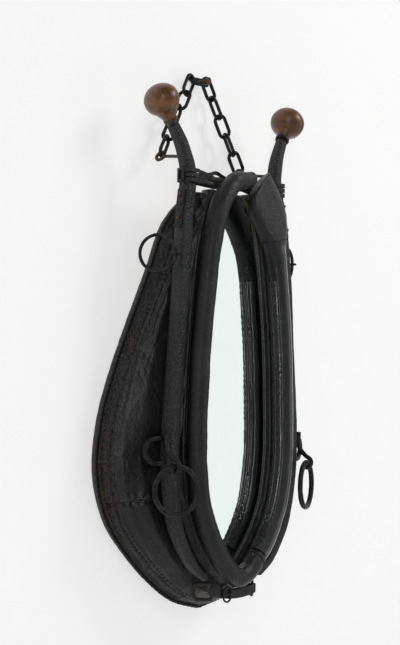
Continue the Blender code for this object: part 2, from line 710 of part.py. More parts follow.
def make_body(leather, straw, canvas, piping):
    """The padded body: a leather shell open at the back, its straw core and its lining."""
    throat, rim = rib_lines(BODY_RIBS)
    split = 0.0006  # half of the joint between the two sides at the bottom
    for side, sign in SIDES.items():
        shells = []
        cores = []
        backs = []
        for t, r in zip(throat, rim):
            width = float(np.hypot(r[0] - t[0], r[2] - t[1]))
            outside = body_profile(width, r[1], r[3])
            inside = inset(outside, LEATHER)
            shells.append(section_points(t, r, outside + inside[::-1]))
            cores.append(section_points(t, r, inset(outside, LEATHER + CORE_GAP)))
            first = inside[0][0] + GAP
            last = inside[-1][0] - GAP
            front = r[3] - 0.0036
            back = ((first, front), (first, front + LINING), (last, front + LINING),
                    (last, front))
            backs.append(section_points(t, r, back))
        for name, rings, paint in ((f"body_leather_{side}", shells, leather),
                                   (f"straw_core_{side}", cores, straw),
                                   (f"back_lining_{side}", backs, canvas)):
            rings = [[np.array((max(p[0], split), p[1], p[2])) for p in ring] for ring in rings]
            loft(name, [mirrored(ring, sign) for ring in rings], paint, smooth_angle=50.0)
        welt = []
        for t, r in zip(throat[1:], rim[1:]):
            inner = np.array((t[0], 0.0, t[1]))
            outer = np.array((r[0], 0.0, r[2]))
            out = (outer - inner) / np.linalg.norm(outer - inner)
            welt.append(outer + out * (PIPING_RADIUS + 0.0006) + np.array((0.0, r[1], 0.0)))
        welt = np.array(welt)
        welt[:, 0] = np.maximum(welt[:, 0], PIPING_RADIUS + split)
        tube(f"rim_piping_{side}", mirrored(welt, sign), PIPING_RADIUS, piping)


def make_bottom_strap(iron, leather):
    """Loops on the hames' lower ends, the strap that draws them together, and its buckle."""
    up = np.array((0.0, 0.0, 1.0))
    right = np.array((1.0, 0.0, 0.0))
    hame_end = np.array(HAME[-1])
    bar_y = hame_end[1] - 0.002
    for side, sign in SIDES.items():
        slant = np.array((math.cos(LOOP_TURN), -math.sin(LOOP_TURN), 0.0))
        center = np.array((STRAP_END_X, bar_y, STRAP_Z)) + slant * LOOP_HALF_WIDTH
        line = rounded_box(center, up, slant, LOOP_HALF_HEIGHT, LOOP_HALF_WIDTH, LOOP_CORNER)
        tube(f"hame_loop_{side}", mirrored(line, sign), LOOP_WIRE, iron, closed=True)
    turn = LOOP_WIRE + GAP + STRAP_THICKNESS / 2 + 0.0002
    half = []
    for x in (0.0, 0.015, 0.030, STRAP_END_X - 0.006):
        half.append((x, bar_y - turn))
    for a in (-90, -45, 0, 45, 90):
        half.append((STRAP_END_X + turn * math.cos(math.radians(a)),
                     bar_y + turn * math.sin(math.radians(a))))
    for x in (STRAP_END_X - 0.006, 0.030, 0.015, 0.0):
        half.append((x, bar_y + turn))
    line = [(x, y) for x, y in half] + [(-x, y) for x, y in reversed(half[1:-1])]
    points = []
    for x, y in line:
        sag = STRAP_SAG * max(0.0, 1 - (x / STRAP_END_X) ** 2)
        points.append((x, y, STRAP_Z - sag))
    ribbon("bottom_strap", np.array(points), up, STRAP_WIDTH, STRAP_THICKNESS, leather,
           closed=True)
    front = bar_y - turn - STRAP_THICKNESS / 2
    frame_y = front - BUCKLE_WIRE - GAP
    center = np.array((BUCKLE_X, frame_y, STRAP_Z - STRAP_SAG * 0.85))
    line = oval(center, up, right, BUCKLE_HALF_HEIGHT, BUCKLE_HALF_WIDTH)
    tube("buckle_frame", line, BUCKLE_WIRE, iron, closed=True)
    pivot = center + right * BUCKLE_HALF_WIDTH
    tongue_y = frame_y - BUCKLE_WIRE - TONGUE_RADIUS - GAP
    tip = np.array((center[0] - 0.0105, tongue_y, center[2]))
    start = np.array((pivot[0], tongue_y, center[2]))
    line = [np.array(p) - start for p in smooth_line((start + right * 0.0006, start, tip), 8)]
    tongue = tube("buckle_tongue", line, TONGUE_RADIUS, iron)
    tongue.location = start


# ---- Mirror ------------------------------------------------------------------------------


def throat_outline(margin):
    """The outline of the mirror's seat, inside the throat's wall by a margin."""
    throat, _ = rib_lines(BODY_RIBS)
    step = directions(throat)
    inward = np.column_stack((step[:, 1], -step[:, 0]))
    inward = np.where(inward[:, :1] > 0, -inward, inward)
    right = throat + inward * margin
    right[-1] = (0.0, throat[-1, 1] + margin)
    right = right[right[:, 1] < MIRROR_TOP_Z]
    corner = (right[0, 0] - 0.004, MIRROR_TOP_Z)
    right = np.vstack((corner, right))
    left = right[:-1][::-1] * (-1, 1)
    return np.vstack((right, left))


def plate(name, outline, front_y, back_y, finish_material):
    """A flat sheet with a given outline."""
    rings = [[np.array((x, y, z)) for x, z in outline] for y in (front_y, back_y)]
    loft(name, rings, finish_material)


def make_mirror(glass, board, cord):
    outline = throat_outline(MIRROR_MARGIN)
    back = MIRROR_Y + MIRROR_THICKNESS
    plate("mirror_glass", outline, MIRROR_Y, back, glass)
    plate("mirror_backing", outline, back + GAP, back + GAP + BACKING_THICKNESS, board)
    line = [(x, MIRROR_Y - BEAD_RADIUS - GAP, z) for x, z in throat_outline(BEAD_RADIUS + 0.0010)]
    tube("mirror_cord", line, BEAD_RADIUS, cord, closed=True)


# ---- Assembly ----------------------------------------------------------------------------


def clear_scene():
    for old in list(bpy.data.objects):
        bpy.data.objects.remove(old)


def main():
    clear_scene()
    chain_iron = material("chain_iron", (0.030, 0.030, 0.032), 0.55, 0.8)
    rusty_iron = material("rusty_iron", (0.110, 0.060, 0.035), 0.75, 0.4)
    forged_iron = material("forged_iron", (0.040, 0.040, 0.042), 0.50, 0.8)
    hame_black = material("hame_black", (0.040, 0.041, 0.046), 0.55)
    knob_wood = material("knob_wood", (0.190, 0.080, 0.035), 0.35)
    roll_leather = material("roll_leather", (0.030, 0.030, 0.031), 0.40)
    body_leather = material("body_leather", (0.026, 0.025, 0.026), 0.50)
    strap_leather = material("strap_leather", (0.035, 0.033, 0.033), 0.60)
    piping_leather = material("piping_leather", (0.022, 0.021, 0.021), 0.55)
    straw = material("straw", (0.450, 0.340, 0.140), 0.90)
    canvas = material("canvas", (0.230, 0.190, 0.130), 0.90)
    mirror_silver = material("mirror_silver", (0.880, 0.930, 0.910), 0.02, 1.0)
    board = material("backing_board", (0.300, 0.190, 0.100), 0.80)
    cord = material("mirror_cord", (0.330, 0.320, 0.270), 0.70)

    make_nail(forged_iron)
    make_chain(chain_iron)
    make_chain_hooks(rusty_iron)
    make_hames(hame_black)
    make_knobs(knob_wood, forged_iron)
    make_side_plates(forged_iron)
    make_terrets(forged_iron)
    make_draft_gear(forged_iron)
    make_lashing(strap_leather)
    make_roll(roll_leather)
    make_body(body_leather, straw, canvas, piping_leather)
    make_bottom_strap(forged_iron, strap_leather)
    make_mirror(mirror_silver, board, cord)


main()
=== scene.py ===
import math

import bmesh
import bpy
import numpy as np
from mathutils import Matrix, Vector, noise
from mathutils.bvhtree import BVHTree


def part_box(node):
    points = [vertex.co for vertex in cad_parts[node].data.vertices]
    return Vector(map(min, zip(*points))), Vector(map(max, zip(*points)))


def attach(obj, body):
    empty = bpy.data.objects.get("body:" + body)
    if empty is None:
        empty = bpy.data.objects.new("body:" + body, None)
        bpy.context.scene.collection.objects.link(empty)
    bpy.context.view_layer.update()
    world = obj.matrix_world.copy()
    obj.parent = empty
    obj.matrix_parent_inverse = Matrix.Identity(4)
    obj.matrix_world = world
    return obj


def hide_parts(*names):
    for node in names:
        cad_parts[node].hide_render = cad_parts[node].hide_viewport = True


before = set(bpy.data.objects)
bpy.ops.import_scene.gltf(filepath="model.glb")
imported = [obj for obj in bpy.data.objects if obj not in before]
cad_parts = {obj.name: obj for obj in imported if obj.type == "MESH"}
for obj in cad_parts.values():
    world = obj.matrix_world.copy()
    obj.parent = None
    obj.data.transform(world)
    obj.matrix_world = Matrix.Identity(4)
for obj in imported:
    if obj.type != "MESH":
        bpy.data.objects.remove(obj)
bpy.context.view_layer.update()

# ---- Outlines of the collar, in metres ----
# The roll's centre line on the right side, as (x, z), from the top to the bottom centre.
OPENING = (
    (0.024, -0.169), (0.044, -0.186), (0.066, -0.219), (0.084, -0.281), (0.096, -0.360),
    (0.105, -0.440), (0.109, -0.515), (0.111, -0.565), (0.110, -0.612), (0.101, -0.670),
    (0.088, -0.705), (0.065, -0.744), (0.040, -0.773), (0.020, -0.791), (0.000, -0.798),
)
THROAT_OFFSET = 0.0085
# The padded body's outer edge, as (x, y, z, y of the back), paired along the opening.
RIM = (
    (0.063, -0.065, -0.187, -0.046), (0.083, -0.062, -0.199, -0.043),
    (0.106, -0.057, -0.220, -0.038), (0.125, -0.051, -0.250, -0.033),
    (0.141, -0.045, -0.300, -0.027), (0.157, -0.039, -0.345, -0.020),
    (0.184, -0.031, -0.415, -0.012), (0.208, -0.025, -0.480, -0.005),
    (0.227, -0.022, -0.540, -0.003), (0.237, -0.021, -0.605, -0.003),
    (0.232, -0.021, -0.655, -0.003), (0.209, -0.021, -0.710, -0.003),
    (0.169, -0.023, -0.757, -0.003), (0.118, -0.026, -0.802, -0.003),
    (0.064, -0.030, -0.835, -0.004), (0.000, -0.032, -0.851, -0.004),
)
# The hame's centre line, and its width and thickness at the same points.
HAME = (
    (0.1385, -0.080, -0.0900), (0.1215, -0.084, -0.1200), (0.1105, -0.088, -0.1580),
    (0.1135, -0.090, -0.1900), (0.1225, -0.092, -0.2400), (0.1305, -0.095, -0.3300),
    (0.1380, -0.095, -0.4240), (0.1470, -0.095, -0.5170), (0.1510, -0.095, -0.5800),
    (0.1500, -0.095, -0.6400), (0.1400, -0.095, -0.7000), (0.1240, -0.096, -0.7380),
    (0.0980, -0.098, -0.7740), (0.0680, -0.101, -0.7960),
)
HAME_SECTION = (
    (0.0165, 0.0165), (0.0190, 0.0195), (0.0215, 0.0220), (0.0225, 0.0230), (0.0235, 0.0240),
    (0.0250, 0.0260), (0.0250, 0.0260), (0.0250, 0.0260), (0.0250, 0.0260), (0.0240, 0.0250),
    (0.0215, 0.0230), (0.0190, 0.0200), (0.0150, 0.0160), (0.0110, 0.0110),
)
ROLL_RADIUS = 0.0165
ROLL_SIDES = 72
# The long ridges on the roll's inner side: angle round the roll, width and height.
ROLL_RIDGES = ((math.radians(146), 0.22, 0.0014), (math.radians(188), 0.22, 0.0015))
SIDES = {"left": -1.0, "right": 1.0}
UP = np.array((0.0, 0.0, 1.0))
MIRROR_X = np.array((-1.0, 1.0, 1.0))


# ---- Lines and skins ----


def run_of(line):
    """The distance along a line at each of its points."""
    return np.concatenate(([0.0], np.cumsum(np.linalg.norm(np.diff(line, axis=0), axis=1))))


def read_at(line, run, steps):
    """The points of a line at the given distances along it."""
    return np.column_stack([np.interp(steps, run, column) for column in line.T])


def smooth_line(points, count):
    """A Catmull-Rom curve through the points, read at even steps."""
    p = np.array(points, dtype=float)
    p = np.vstack((2 * p[0] - p[1], p, 2 * p[-1] - p[-2]))
    dense = []
    for i in range(1, len(p) - 2):
        for t in np.linspace(0.0, 1.0, 24, endpoint=False):
            dense.append(0.5 * (2 * p[i] + (p[i + 1] - p[i - 1]) * t
                                + (2 * p[i - 1] - 5 * p[i] + 4 * p[i + 1] - p[i + 2]) * t**2
                                + (3 * p[i] - p[i - 1] - 3 * p[i + 1] + p[i + 2]) * t**3))
    dense.append(p[-2])
    dense = np.array(dense)
    run = run_of(dense)
    return read_at(dense, run, np.linspace(0.0, run[-1], count))


def unit(rows):
    """Each row at length one."""
    return rows / np.linalg.norm(rows, axis=1)[:, None]


def circle(count):
    """Angles at even steps round a circle."""
    return np.arange(count) * 2 * math.pi / count


def squared(turn, power):
    """A circle's two coordinates, pushed towards a square by a power under one."""
    return [np.sign(side) * np.abs(side) ** power for side in (np.cos(turn), np.sin(turn))]


def directions(line, loop=False):
    """The direction of travel at each point of a line."""
    if loop:
        return unit(np.roll(line, -1, axis=0) - np.roll(line, 1, axis=0))
    return unit(np.gradient(line, axis=0))


def outward_of(travel):
    """For directions in the collar's plane, the ones square to them that point to the right."""
    out = np.column_stack((-travel[:, 1], travel[:, 0]))
    return np.where(out[:, :1] < 0, -out, out)


def softened(line, rounds):
    """A closed line with each point drawn towards its neighbours."""
    for _ in range(rounds):
        line = 0.5 * line + 0.25 * (np.roll(line, 1, axis=0) + np.roll(line, -1, axis=0))
    return line


def ring_about(one, two, angle):
    """Directions at the given angles between two square ones, for each point of a line."""
    return np.cos(angle)[..., None] * one + np.sin(angle)[..., None] * two


def carried(line, first, loop=False):
    """Two directions across the line at each point, turned as little as possible."""
    travel = directions(line, loop)
    side = np.array(first, dtype=float)
    sides = []
    for t in travel:
        side = side - t * side.dot(t)
        side = side / np.linalg.norm(side)
        sides.append(side)
    sides = np.array(sides)
    return sides, np.cross(travel, sides)


def rounded_ends(line, rings, radius, travel, steps):
    """The rings with a few smaller ones beyond each end, which round it off."""
    heads, tails = [], []
    for share, reach in steps:
        heads.append(line[0] + (rings[0] - line[0]) * share - travel[0] * radius[0] * reach)
        tails.append(line[-1] + (rings[-1] - line[-1]) * share + travel[-1] * radius[-1] * reach)
    return np.concatenate((np.array(heads), rings, np.array(tails[::-1])))


def new_object(name, vertices, faces, material, smooth=True):
    mesh = bpy.data.meshes.new(name)
    mesh.from_pydata([tuple(v) for v in vertices], [], faces)
    mesh.validate()
    work = bmesh.new()
    work.from_mesh(mesh)
    bmesh.ops.recalc_face_normals(work, faces=work.faces)
    work.to_mesh(mesh)
    work.free()
    if smooth:
        mesh.shade_smooth()
    mesh.materials.append(material)
    made = bpy.data.objects.new(name, mesh)
    bpy.context.scene.collection.objects.link(made)
    return made


def skin_data(rings, loop=False, offset=0):
    """Vertices and faces of a closed skin over rings of equal length."""
    rings = np.asarray(rings)
    m, n = rings.shape[:2]
    vertices = list(rings.reshape(-1, 3))
    faces = []
    for i in range(m if loop else m - 1):
        a = offset + i * n
        b = offset + (i + 1) % m * n
        faces += [(a + j, a + (j + 1) % n, b + (j + 1) % n, b + j) for j in range(n)]
    if not loop:
        for end, start in ((rings[0], 0), (rings[-1], (m - 1) * n)):
            middle = offset + len(vertices)
            vertices.append(end.mean(axis=0))
            ring = [offset + start + j for j in range(n)]
            faces += [(ring[j], ring[(j + 1) % n], middle) for j in range(n)]
    return vertices, faces


def skin(name, rings, material, loop=False):
    vertices, faces = skin_data(rings, loop)
    return new_object(name, vertices, faces, material)


def many_skins(name, parts, material):
    """One object out of many closed skins, such as a row of stitches."""
    vertices, faces = [], []
    for rings, loop in parts:
        more_vertices, more_faces = skin_data(rings, loop, len(vertices))
        vertices += more_vertices
        faces += more_faces
    return new_object(name, vertices, faces, material)


def ramp(value, width=1.0):
    """Rises evenly from 0 to 1 as the value goes from nothing to the width."""
    return np.clip(value / width, 0.0, 1.0)


def tube_rings(line, radius, sides=12, loop=False, first=(0.0, 1.0, 0.0)):
    """Rings of a round rod along a line; radius is one number or one for each point."""
    line = np.asarray(line, dtype=float)
    radius = np.broadcast_to(radius, (len(line),)).astype(float)
    one, two = carried(line, first, loop)
    turned = ring_about(one[:, None, :], two[:, None, :], circle(sides)[None, :])
    rings = line[:, None, :] + radius[:, None, None] * turned
    if loop:
        return rings
    return rounded_ends(line, rings, radius, directions(line), ((0.55, 0.38), (0.85, 0.20)))


def rolling(points, scale, seed=0.0):
    """Smooth noise from -1 to 1 at each point; scale is the size of its lumps in metres."""
    shift = Vector((seed * 3.1, seed * 1.7, seed * 5.3))
    return np.array([noise.noise(Vector(p) / scale + shift) for p in points])


def bell(x, width):
    """A smooth bump: 1 at nought, and gone past about twice the width."""
    return np.exp(-((x / width) ** 2))


def vertices_of(piece):
    flat = np.empty(len(piece.data.vertices) * 3)
    piece.data.vertices.foreach_get("co", flat)
    return flat.reshape(-1, 3)


def normals_of(piece):
    flat = np.empty(len(piece.data.vertices) * 3)
    piece.data.vertex_normals.foreach_get("vector", flat)
    return flat.reshape(-1, 3)


def move_vertices(piece, points):
    piece.data.vertices.foreach_set("co", np.asarray(points, dtype=float).reshape(-1))
    piece.data.update()


def paint(piece, name, values):
    """A number for each vertex, which a material reads back by name."""
    layer = piece.data.attributes.new(name, "FLOAT", "POINT")
    layer.data.foreach_set("value", np.asarray(values, dtype=float))


def apply_modifiers(piece):
    graph = bpy.context.evaluated_depsgraph_get()
    made = bpy.data.meshes.new_from_object(piece.evaluated_get(graph))
    piece.modifiers.clear()
    old = piece.data
    piece.data = made
    bpy.data.meshes.remove(old)


def copy_of(node, name, material):
    """A separate object with the same mesh as a CAD node."""
    made = bpy.data.objects.new(name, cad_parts[node].data.copy())
    made.matrix_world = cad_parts[node].matrix_world.copy()
    bpy.context.scene.collection.objects.link(made)
    made.data.materials.clear()
    made.data.materials.append(material)
    return made


def remeshed(piece, voxel, rounds):
    """Gives a piece an even mesh and rounds it off."""
    remesh = piece.modifiers.new("remesh", "REMESH")
    remesh.mode = "VOXEL"
    remesh.voxel_size = voxel
    if rounds:
        piece.modifiers.new("smooth", "SMOOTH").iterations = rounds
    apply_modifiers(piece)
    piece.data.shade_smooth()


def fit(piece, slot, *nodes, body="collar"):
    """Hangs a piece on its body and hides the CAD nodes that it stands for; the slot is not used."""
    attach(piece, body)
    if nodes:
        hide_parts(*nodes)


def surface_of(piece):
    mesh = piece.data
    return BVHTree.FromPolygons([v.co.copy() for v in mesh.vertices],
                                [tuple(p.vertices) for p in mesh.polygons])


# ---- Materials ----


class Shade:
    """A material under construction: nodes are added and wired by short calls."""

    def __init__(self, name, **settings):
        self.material = bpy.data.materials.new(name)
        self.material.use_nodes = True
        self.tree = self.material.node_tree
        self.shader = self.tree.nodes["Principled BSDF"]
        for socket, value in settings.items():
            self.shader.inputs[socket.replace("_", " ")].default_value = value
        self.place = self.node("TexCoord", {}, "Object")

    def wire(self, value, socket):
        if hasattr(value, "is_output"):
            self.tree.links.new(value, socket)
        else:
            socket.default_value = value

    def node(self, kind, inputs, output, **settings):
        """Adds a node, feeds its inputs with numbers or other nodes, and gives one output."""
        made = self.tree.nodes.new("ShaderNode" + kind)
        for key, value in settings.items():
            setattr(made, key, value)
        for socket, value in inputs.items():
            self.wire(value, made.inputs[socket])
        return made.outputs[output]

    def noise(self, scale, detail=4.0, rough=0.55, place=None, distortion=0.0):
        inputs = {"Vector": place or self.place, "Scale": scale, "Detail": detail,
                  "Roughness": rough, "Distortion": distortion}
        return self.node("TexNoise", inputs, "Fac")

    def cells(self, scale, feature="F1", place=None):
        inputs = {"Vector": place or self.place, "Scale": scale}
        return self.node("TexVoronoi", inputs, "Distance", feature=feature)

    def stretched(self, scale, turn=(0.0, 0.0, 0.0)):
        inputs = {"Vector": self.place, "Scale": scale, "Rotation": turn}
        return self.node("Mapping", inputs, "Vector")

    def spread(self, value, low, high, to_low=0.0, to_high=1.0):
        """Maps low..high to to_low..to_high, clamped."""
        inputs = {"Value": value, "From Min": low, "From Max": high, "To Min": to_low, "To Max": to_high}
        return self.node("MapRange", inputs, "Result", clamp=True)

    def middling(self, value, low, high):
        """Maps the middle of a noise's range to low..high."""
        return self.spread(value, 0.3, 0.7, low, high)

    def math(self, kind, a, b=0.0):
        return self.node("Math", {0: a, 1: b}, 0, operation=kind)

    def mix(self, share, a, b):
        a, b = [(*value, 1.0) if isinstance(value, tuple) else value for value in (a, b)]
        return self.node("Mix", {"Factor": share, 6: a, 7: b}, 2, data_type="RGBA")

    def mottled(self, value, dark, light):
        return self.mix(self.spread(value, 0.35, 0.65), dark, light)

    def over(self, tone, share, most, color):
        """Lays a colour over a tone where share says, and never more than most of it."""
        return self.mix(self.math("MULTIPLY", share, most), tone, color)

    def painted(self, name):
        return self.node("Attribute", {}, "Fac", attribute_name=name)

    def finish(self, color, rough, *bumps):
        """Each bump is (height, depth in metres)."""
        self.wire(color, self.shader.inputs["Base Color"])
        self.wire(rough, self.shader.inputs["Roughness"])
        last = {}
        for height, depth in bumps:
            inputs = {"Strength": 1.0, "Distance": depth, "Height": height, **last}
            last = {"Normal": self.node("Bump", inputs, "Normal")}
        self.wire(last["Normal"], self.shader.inputs["Normal"])
        return self.material


def make_body_leather():
    """Harness leather: charcoal, creased and scuffed, with red-brown wear at the rim band."""
    s = Shade("body_leather", Specular_IOR_Level=0.42)
    broad = s.noise(14.0, 5.0)
    tone = s.mix(s.spread(broad, 0.35, 0.68), (0.0055, 0.0055, 0.0060), (0.0150, 0.0145, 0.0148))
    scuff = s.spread(s.noise(60.0, 8.0, 0.7), 0.60, 0.74)
    tone = s.over(tone, scuff, 0.35, (0.060, 0.056, 0.053))
    band = s.painted("band")
    dry = s.spread(s.noise(240.0, 6.0, 0.7), 0.42, 0.62)
    tone = s.over(tone, s.math("MULTIPLY", band, dry), 0.45, (0.052, 0.044, 0.040))
    red = s.spread(s.noise(125.0, 6.0, 0.75), 0.51, 0.61)
    tone = s.over(tone, s.math("MULTIPLY", s.painted("wear"), red), 0.85, (0.095, 0.028, 0.014))
    rough = s.math("ADD", s.middling(broad, 0.25, 0.38), s.math("MULTIPLY", band, 0.14))
    cracks = s.spread(s.cells(260.0, "DISTANCE_TO_EDGE", s.stretched((1.0, 1.0, 0.55))), 0.0, 0.10)
    cracks = s.math("SUBTRACT", 1.0, s.math("MULTIPLY", s.math("SUBTRACT", 1.0, cracks), band))
    return s.finish(tone, rough, (s.noise(160.0, 6.0, 0.6), 0.0007), (s.cells(900.0), 0.00012),
                    (cracks, 0.0014), (s.noise(48.0, 5.0, 0.6), 0.0022))


def make_roll_leather(name, coat, coat_roughness):
    """The roll's thinner leather, waxed by handling, with fine wrinkles across it."""
    s = Shade(name, Specular_IOR_Level=0.34, Coat_Weight=coat, Coat_Roughness=coat_roughness)
    broad = s.noise(22.0, 5.0)
    tone = s.mix(s.spread(broad, 0.35, 0.68), (0.0060, 0.0063, 0.0068), (0.0150, 0.0150, 0.0158))
    scuff = s.spread(s.noise(90.0, 8.0, 0.7), 0.62, 0.76)
    tone = s.over(tone, scuff, 0.30, (0.070, 0.068, 0.066))
    wax = s.math("MULTIPLY", s.painted("gloss"), 0.12)
    rough = s.math("SUBTRACT", s.middling(broad, 0.34, 0.44), wax)
    wrinkle = s.noise(70.0, 6.0, 0.62, s.stretched((0.8, 0.8, 2.6)))
    return s.finish(tone, rough, (s.noise(190.0, 6.0, 0.6), 0.0006), (wrinkle, 0.0014),
                    (s.cells(560.0), 0.00055))


def make_hame_leather():
    """Pebbled leather glued over the hames, a little blue and lighter on its pebbles."""
    s = Shade("hame_leather", Specular_IOR_Level=0.42)
    pebble = s.cells(430.0, "SMOOTH_F1")
    broad = s.noise(18.0, 4.0)
    tone = s.mix(s.spread(broad, 0.3, 0.7), (0.0052, 0.0054, 0.0062), (0.0125, 0.0129, 0.0145))
    tone = s.over(tone, s.spread(pebble, 0.05, 0.55, 1.0, 0.0), 0.45, (0.052, 0.054, 0.060))
    scuff = s.spread(s.noise(75.0, 8.0, 0.72), 0.62, 0.78)
    tone = s.over(tone, scuff, 0.35, (0.085, 0.083, 0.082))
    return s.finish(tone, s.middling(broad, 0.40, 0.52), (s.noise(120.0, 5.0, 0.6), 0.0008),
                    (s.math("SUBTRACT", 1.0, pebble), 0.0020))


def make_strap_leather():
    s = Shade("strap_leather", Specular_IOR_Level=0.40)
    broad = s.noise(60.0, 5.0)
    tone = s.mottled(broad, (0.0085, 0.0082, 0.0082), (0.0230, 0.0215, 0.0205))
    edge = s.spread(s.noise(170.0, 7.0, 0.7), 0.58, 0.74)
    tone = s.over(tone, edge, 0.4, (0.070, 0.058, 0.050))
    return s.finish(tone, s.middling(broad, 0.46, 0.62), (s.noise(220.0, 6.0, 0.65), 0.0008),
                    (s.cells(850.0), 0.00022))


def make_iron(name, dark, light, rust_share, metal=0.75):
    """Forge-black iron with scale, rubbed spots and a little rust."""
    s = Shade(name, Metallic=metal)
    tone = s.mottled(s.noise(130.0, 6.0, 0.65), dark, light)
    rust = s.spread(s.noise(95.0, 8.0, 0.72), 0.66 - rust_share, 0.80 - rust_share)
    tone = s.over(tone, rust, 0.8, (0.105, 0.042, 0.018))
    return s.finish(tone, s.middling(s.noise(70.0, 5.0), 0.36, 0.62),
                    (s.noise(420.0, 6.0, 0.65), 0.0006), (s.cells(300.0), 0.00030))


def make_knob_wood():
    """Turned hardwood under old glossy varnish: rings across, darker streaks and handling wear."""
    s = Shade("knob_wood", Coat_Weight=0.30, Coat_Roughness=0.24, Specular_IOR_Level=0.40)
    lean = (0.35, 0.25, 0.0)
    grain = s.noise(15.0, 4.0, 0.5, s.stretched((1.0, 1.0, 3.4), lean), 0.8)
    fibre = s.noise(150.0, 5.0, 0.65, s.stretched((1.0, 1.0, 7.0), lean))
    tone = s.mix(s.spread(grain, 0.38, 0.64), (0.110, 0.0400, 0.0110), (0.215, 0.0860, 0.0230))
    tone = s.over(tone, s.spread(fibre, 0.45, 0.62), 0.25, (0.062, 0.022, 0.009))
    dirt = s.spread(s.noise(38.0, 6.0, 0.7), 0.52, 0.72)
    tone = s.over(tone, dirt, 0.55, (0.030, 0.0120, 0.0060))
    # The neck is painted darker towards its foot at the hame.
    tone = s.mix(s.painted("neck"), tone, (0.016, 0.0080, 0.0050))
    return s.finish(tone, s.middling(s.noise(45.0, 5.0), 0.34, 0.48), (fibre, 0.00025),
                    (s.noise(60.0, 5.0), 0.0007))


def make_mirror_silver():
    s = Shade("mirror_silver", Metallic=1.0)
    haze = s.spread(s.noise(26.0, 6.0, 0.7), 0.55, 0.85)
    return s.finish(s.mix(haze, (0.905, 0.950, 0.935), (0.860, 0.915, 0.895)),
                    s.spread(haze, 0.0, 1.0, 0.010, 0.045), (s.noise(9.0, 2.0), 0.00004))


def make_canvas():
    """Coarse sacking on the back: a plain weave with slubs, dulled by dust."""
    s = Shade("canvas", Sheen_Weight=0.25)
    threads = []
    for turn in ((0.0, 0.0, 0.0), (0.0, math.pi / 2, 0.0)):
        inputs = {"Vector": s.stretched((1.0, 1.0, 1.0), turn), "Scale": 130.0, "Distortion": 1.2,
                  "Detail Scale": 0.8}
        threads.append(s.node("TexWave", inputs, "Fac", wave_type="BANDS", bands_direction="X"))
    weave = s.math("MULTIPLY", *threads)
    stain = s.noise(16.0, 6.0, 0.65)
    tone = s.mix(s.spread(stain, 0.3, 0.7), (0.095, 0.072, 0.048), (0.215, 0.175, 0.125))
    tone = s.mix(s.spread(weave, 0.0, 0.8, 0.55, 0.0), tone, (0.040, 0.030, 0.020))
    return s.finish(tone, s.middling(stain, 0.82, 0.94), (weave, 0.0007), (s.noise(90.0, 4.0), 0.0006))


def make_board():
    s = Shade("backing_board")
    grain = s.noise(26.0, 6.0, 0.6, s.stretched((6.0, 1.0, 0.5)), 0.8)
    tone = s.mottled(grain, (0.175, 0.098, 0.046), (0.330, 0.205, 0.105))
    tone = s.mix(s.spread(s.noise(9.0, 5.0), 0.5, 0.75), tone, (0.120, 0.075, 0.042))
    return s.finish(tone, s.middling(grain, 0.62, 0.82), (grain, 0.0005))


def make_thread(name, dark, light):
    s = Shade(name, Specular_IOR_Level=0.25)
    tone = s.noise(300.0, 4.0)
    return s.finish(s.mottled(tone, dark, light), s.middling(tone, 0.60, 0.80), (s.cells(1500.0), 0.0002))


def make_dark_wood():
    """The knob's flared neck: dark wood, darker than the ball."""
    s = Shade("dark_wood", Coat_Weight=0.20, Coat_Roughness=0.35)
    grain = s.noise(90.0, 6.0, 0.65, s.stretched((1.0, 1.0, 3.0)))
    tone = s.mottled(grain, (0.012, 0.0060, 0.0040), (0.040, 0.0170, 0.0085))
    return s.finish(tone, s.middling(grain, 0.38, 0.55), (grain, 0.0004))


def make_lace():
    """Brown lace, mottled paler and darker."""
    s = Shade("brown_lace", Specular_IOR_Level=0.40)
    grain = s.noise(130.0, 6.0, 0.65)
    tone = s.mottled(grain, (0.010, 0.0070, 0.0058), (0.034, 0.0210, 0.0150))
    return s.finish(tone, s.middling(grain, 0.48, 0.66), (s.noise(260.0, 5.0), 0.0005))


def make_mirror_cord_thread():
    """Twisted thread, beige where it is clean at the top and grey with dust below."""
    s = Shade("mirror_thread")
    grain = s.spread(s.noise(300.0, 4.0), 0.35, 0.65)
    grey = s.mix(grain, (0.060, 0.062, 0.060), (0.220, 0.225, 0.215))
    beige = s.mix(grain, (0.150, 0.130, 0.085), (0.340, 0.310, 0.225))
    return s.finish(s.mix(s.painted("top"), grey, beige), s.spread(grain, 0.0, 1.0, 0.60, 0.78),
                    (s.cells(1500.0), 0.0002))


BODY_LEATHER = make_body_leather()
ROLL_LEATHER = make_roll_leather("roll_leather", 0.12, 0.32)
WAXED_LEATHER = make_roll_leather("waxed_leather", 1.0, 0.15)
HAME_LEATHER = make_hame_leather()
STRAP_LEATHER = make_strap_leather()
FORGED_IRON = make_iron("forged_iron", (0.010, 0.010, 0.011), (0.045, 0.044, 0.046), 0.00)
CHAIN_IRON = make_iron("chain_iron", (0.010, 0.010, 0.011), (0.036, 0.035, 0.036), 0.02)
RUSTY_IRON = make_iron("rusty_iron", (0.035, 0.022, 0.015), (0.085, 0.050, 0.030), 0.14, 0.35)
KNOB_WOOD = make_knob_wood()
MIRROR_SILVER = make_mirror_silver()
CANVAS = make_canvas()
DARK_WOOD = make_dark_wood()
LACE = make_lace()
BOARD = make_board()
BLACK_THREAD = make_thread("black_thread", (0.006, 0.006, 0.006), (0.024, 0.022, 0.020))
PALE_CORD = make_mirror_cord_thread()

# ---- Stage, lights and camera ----


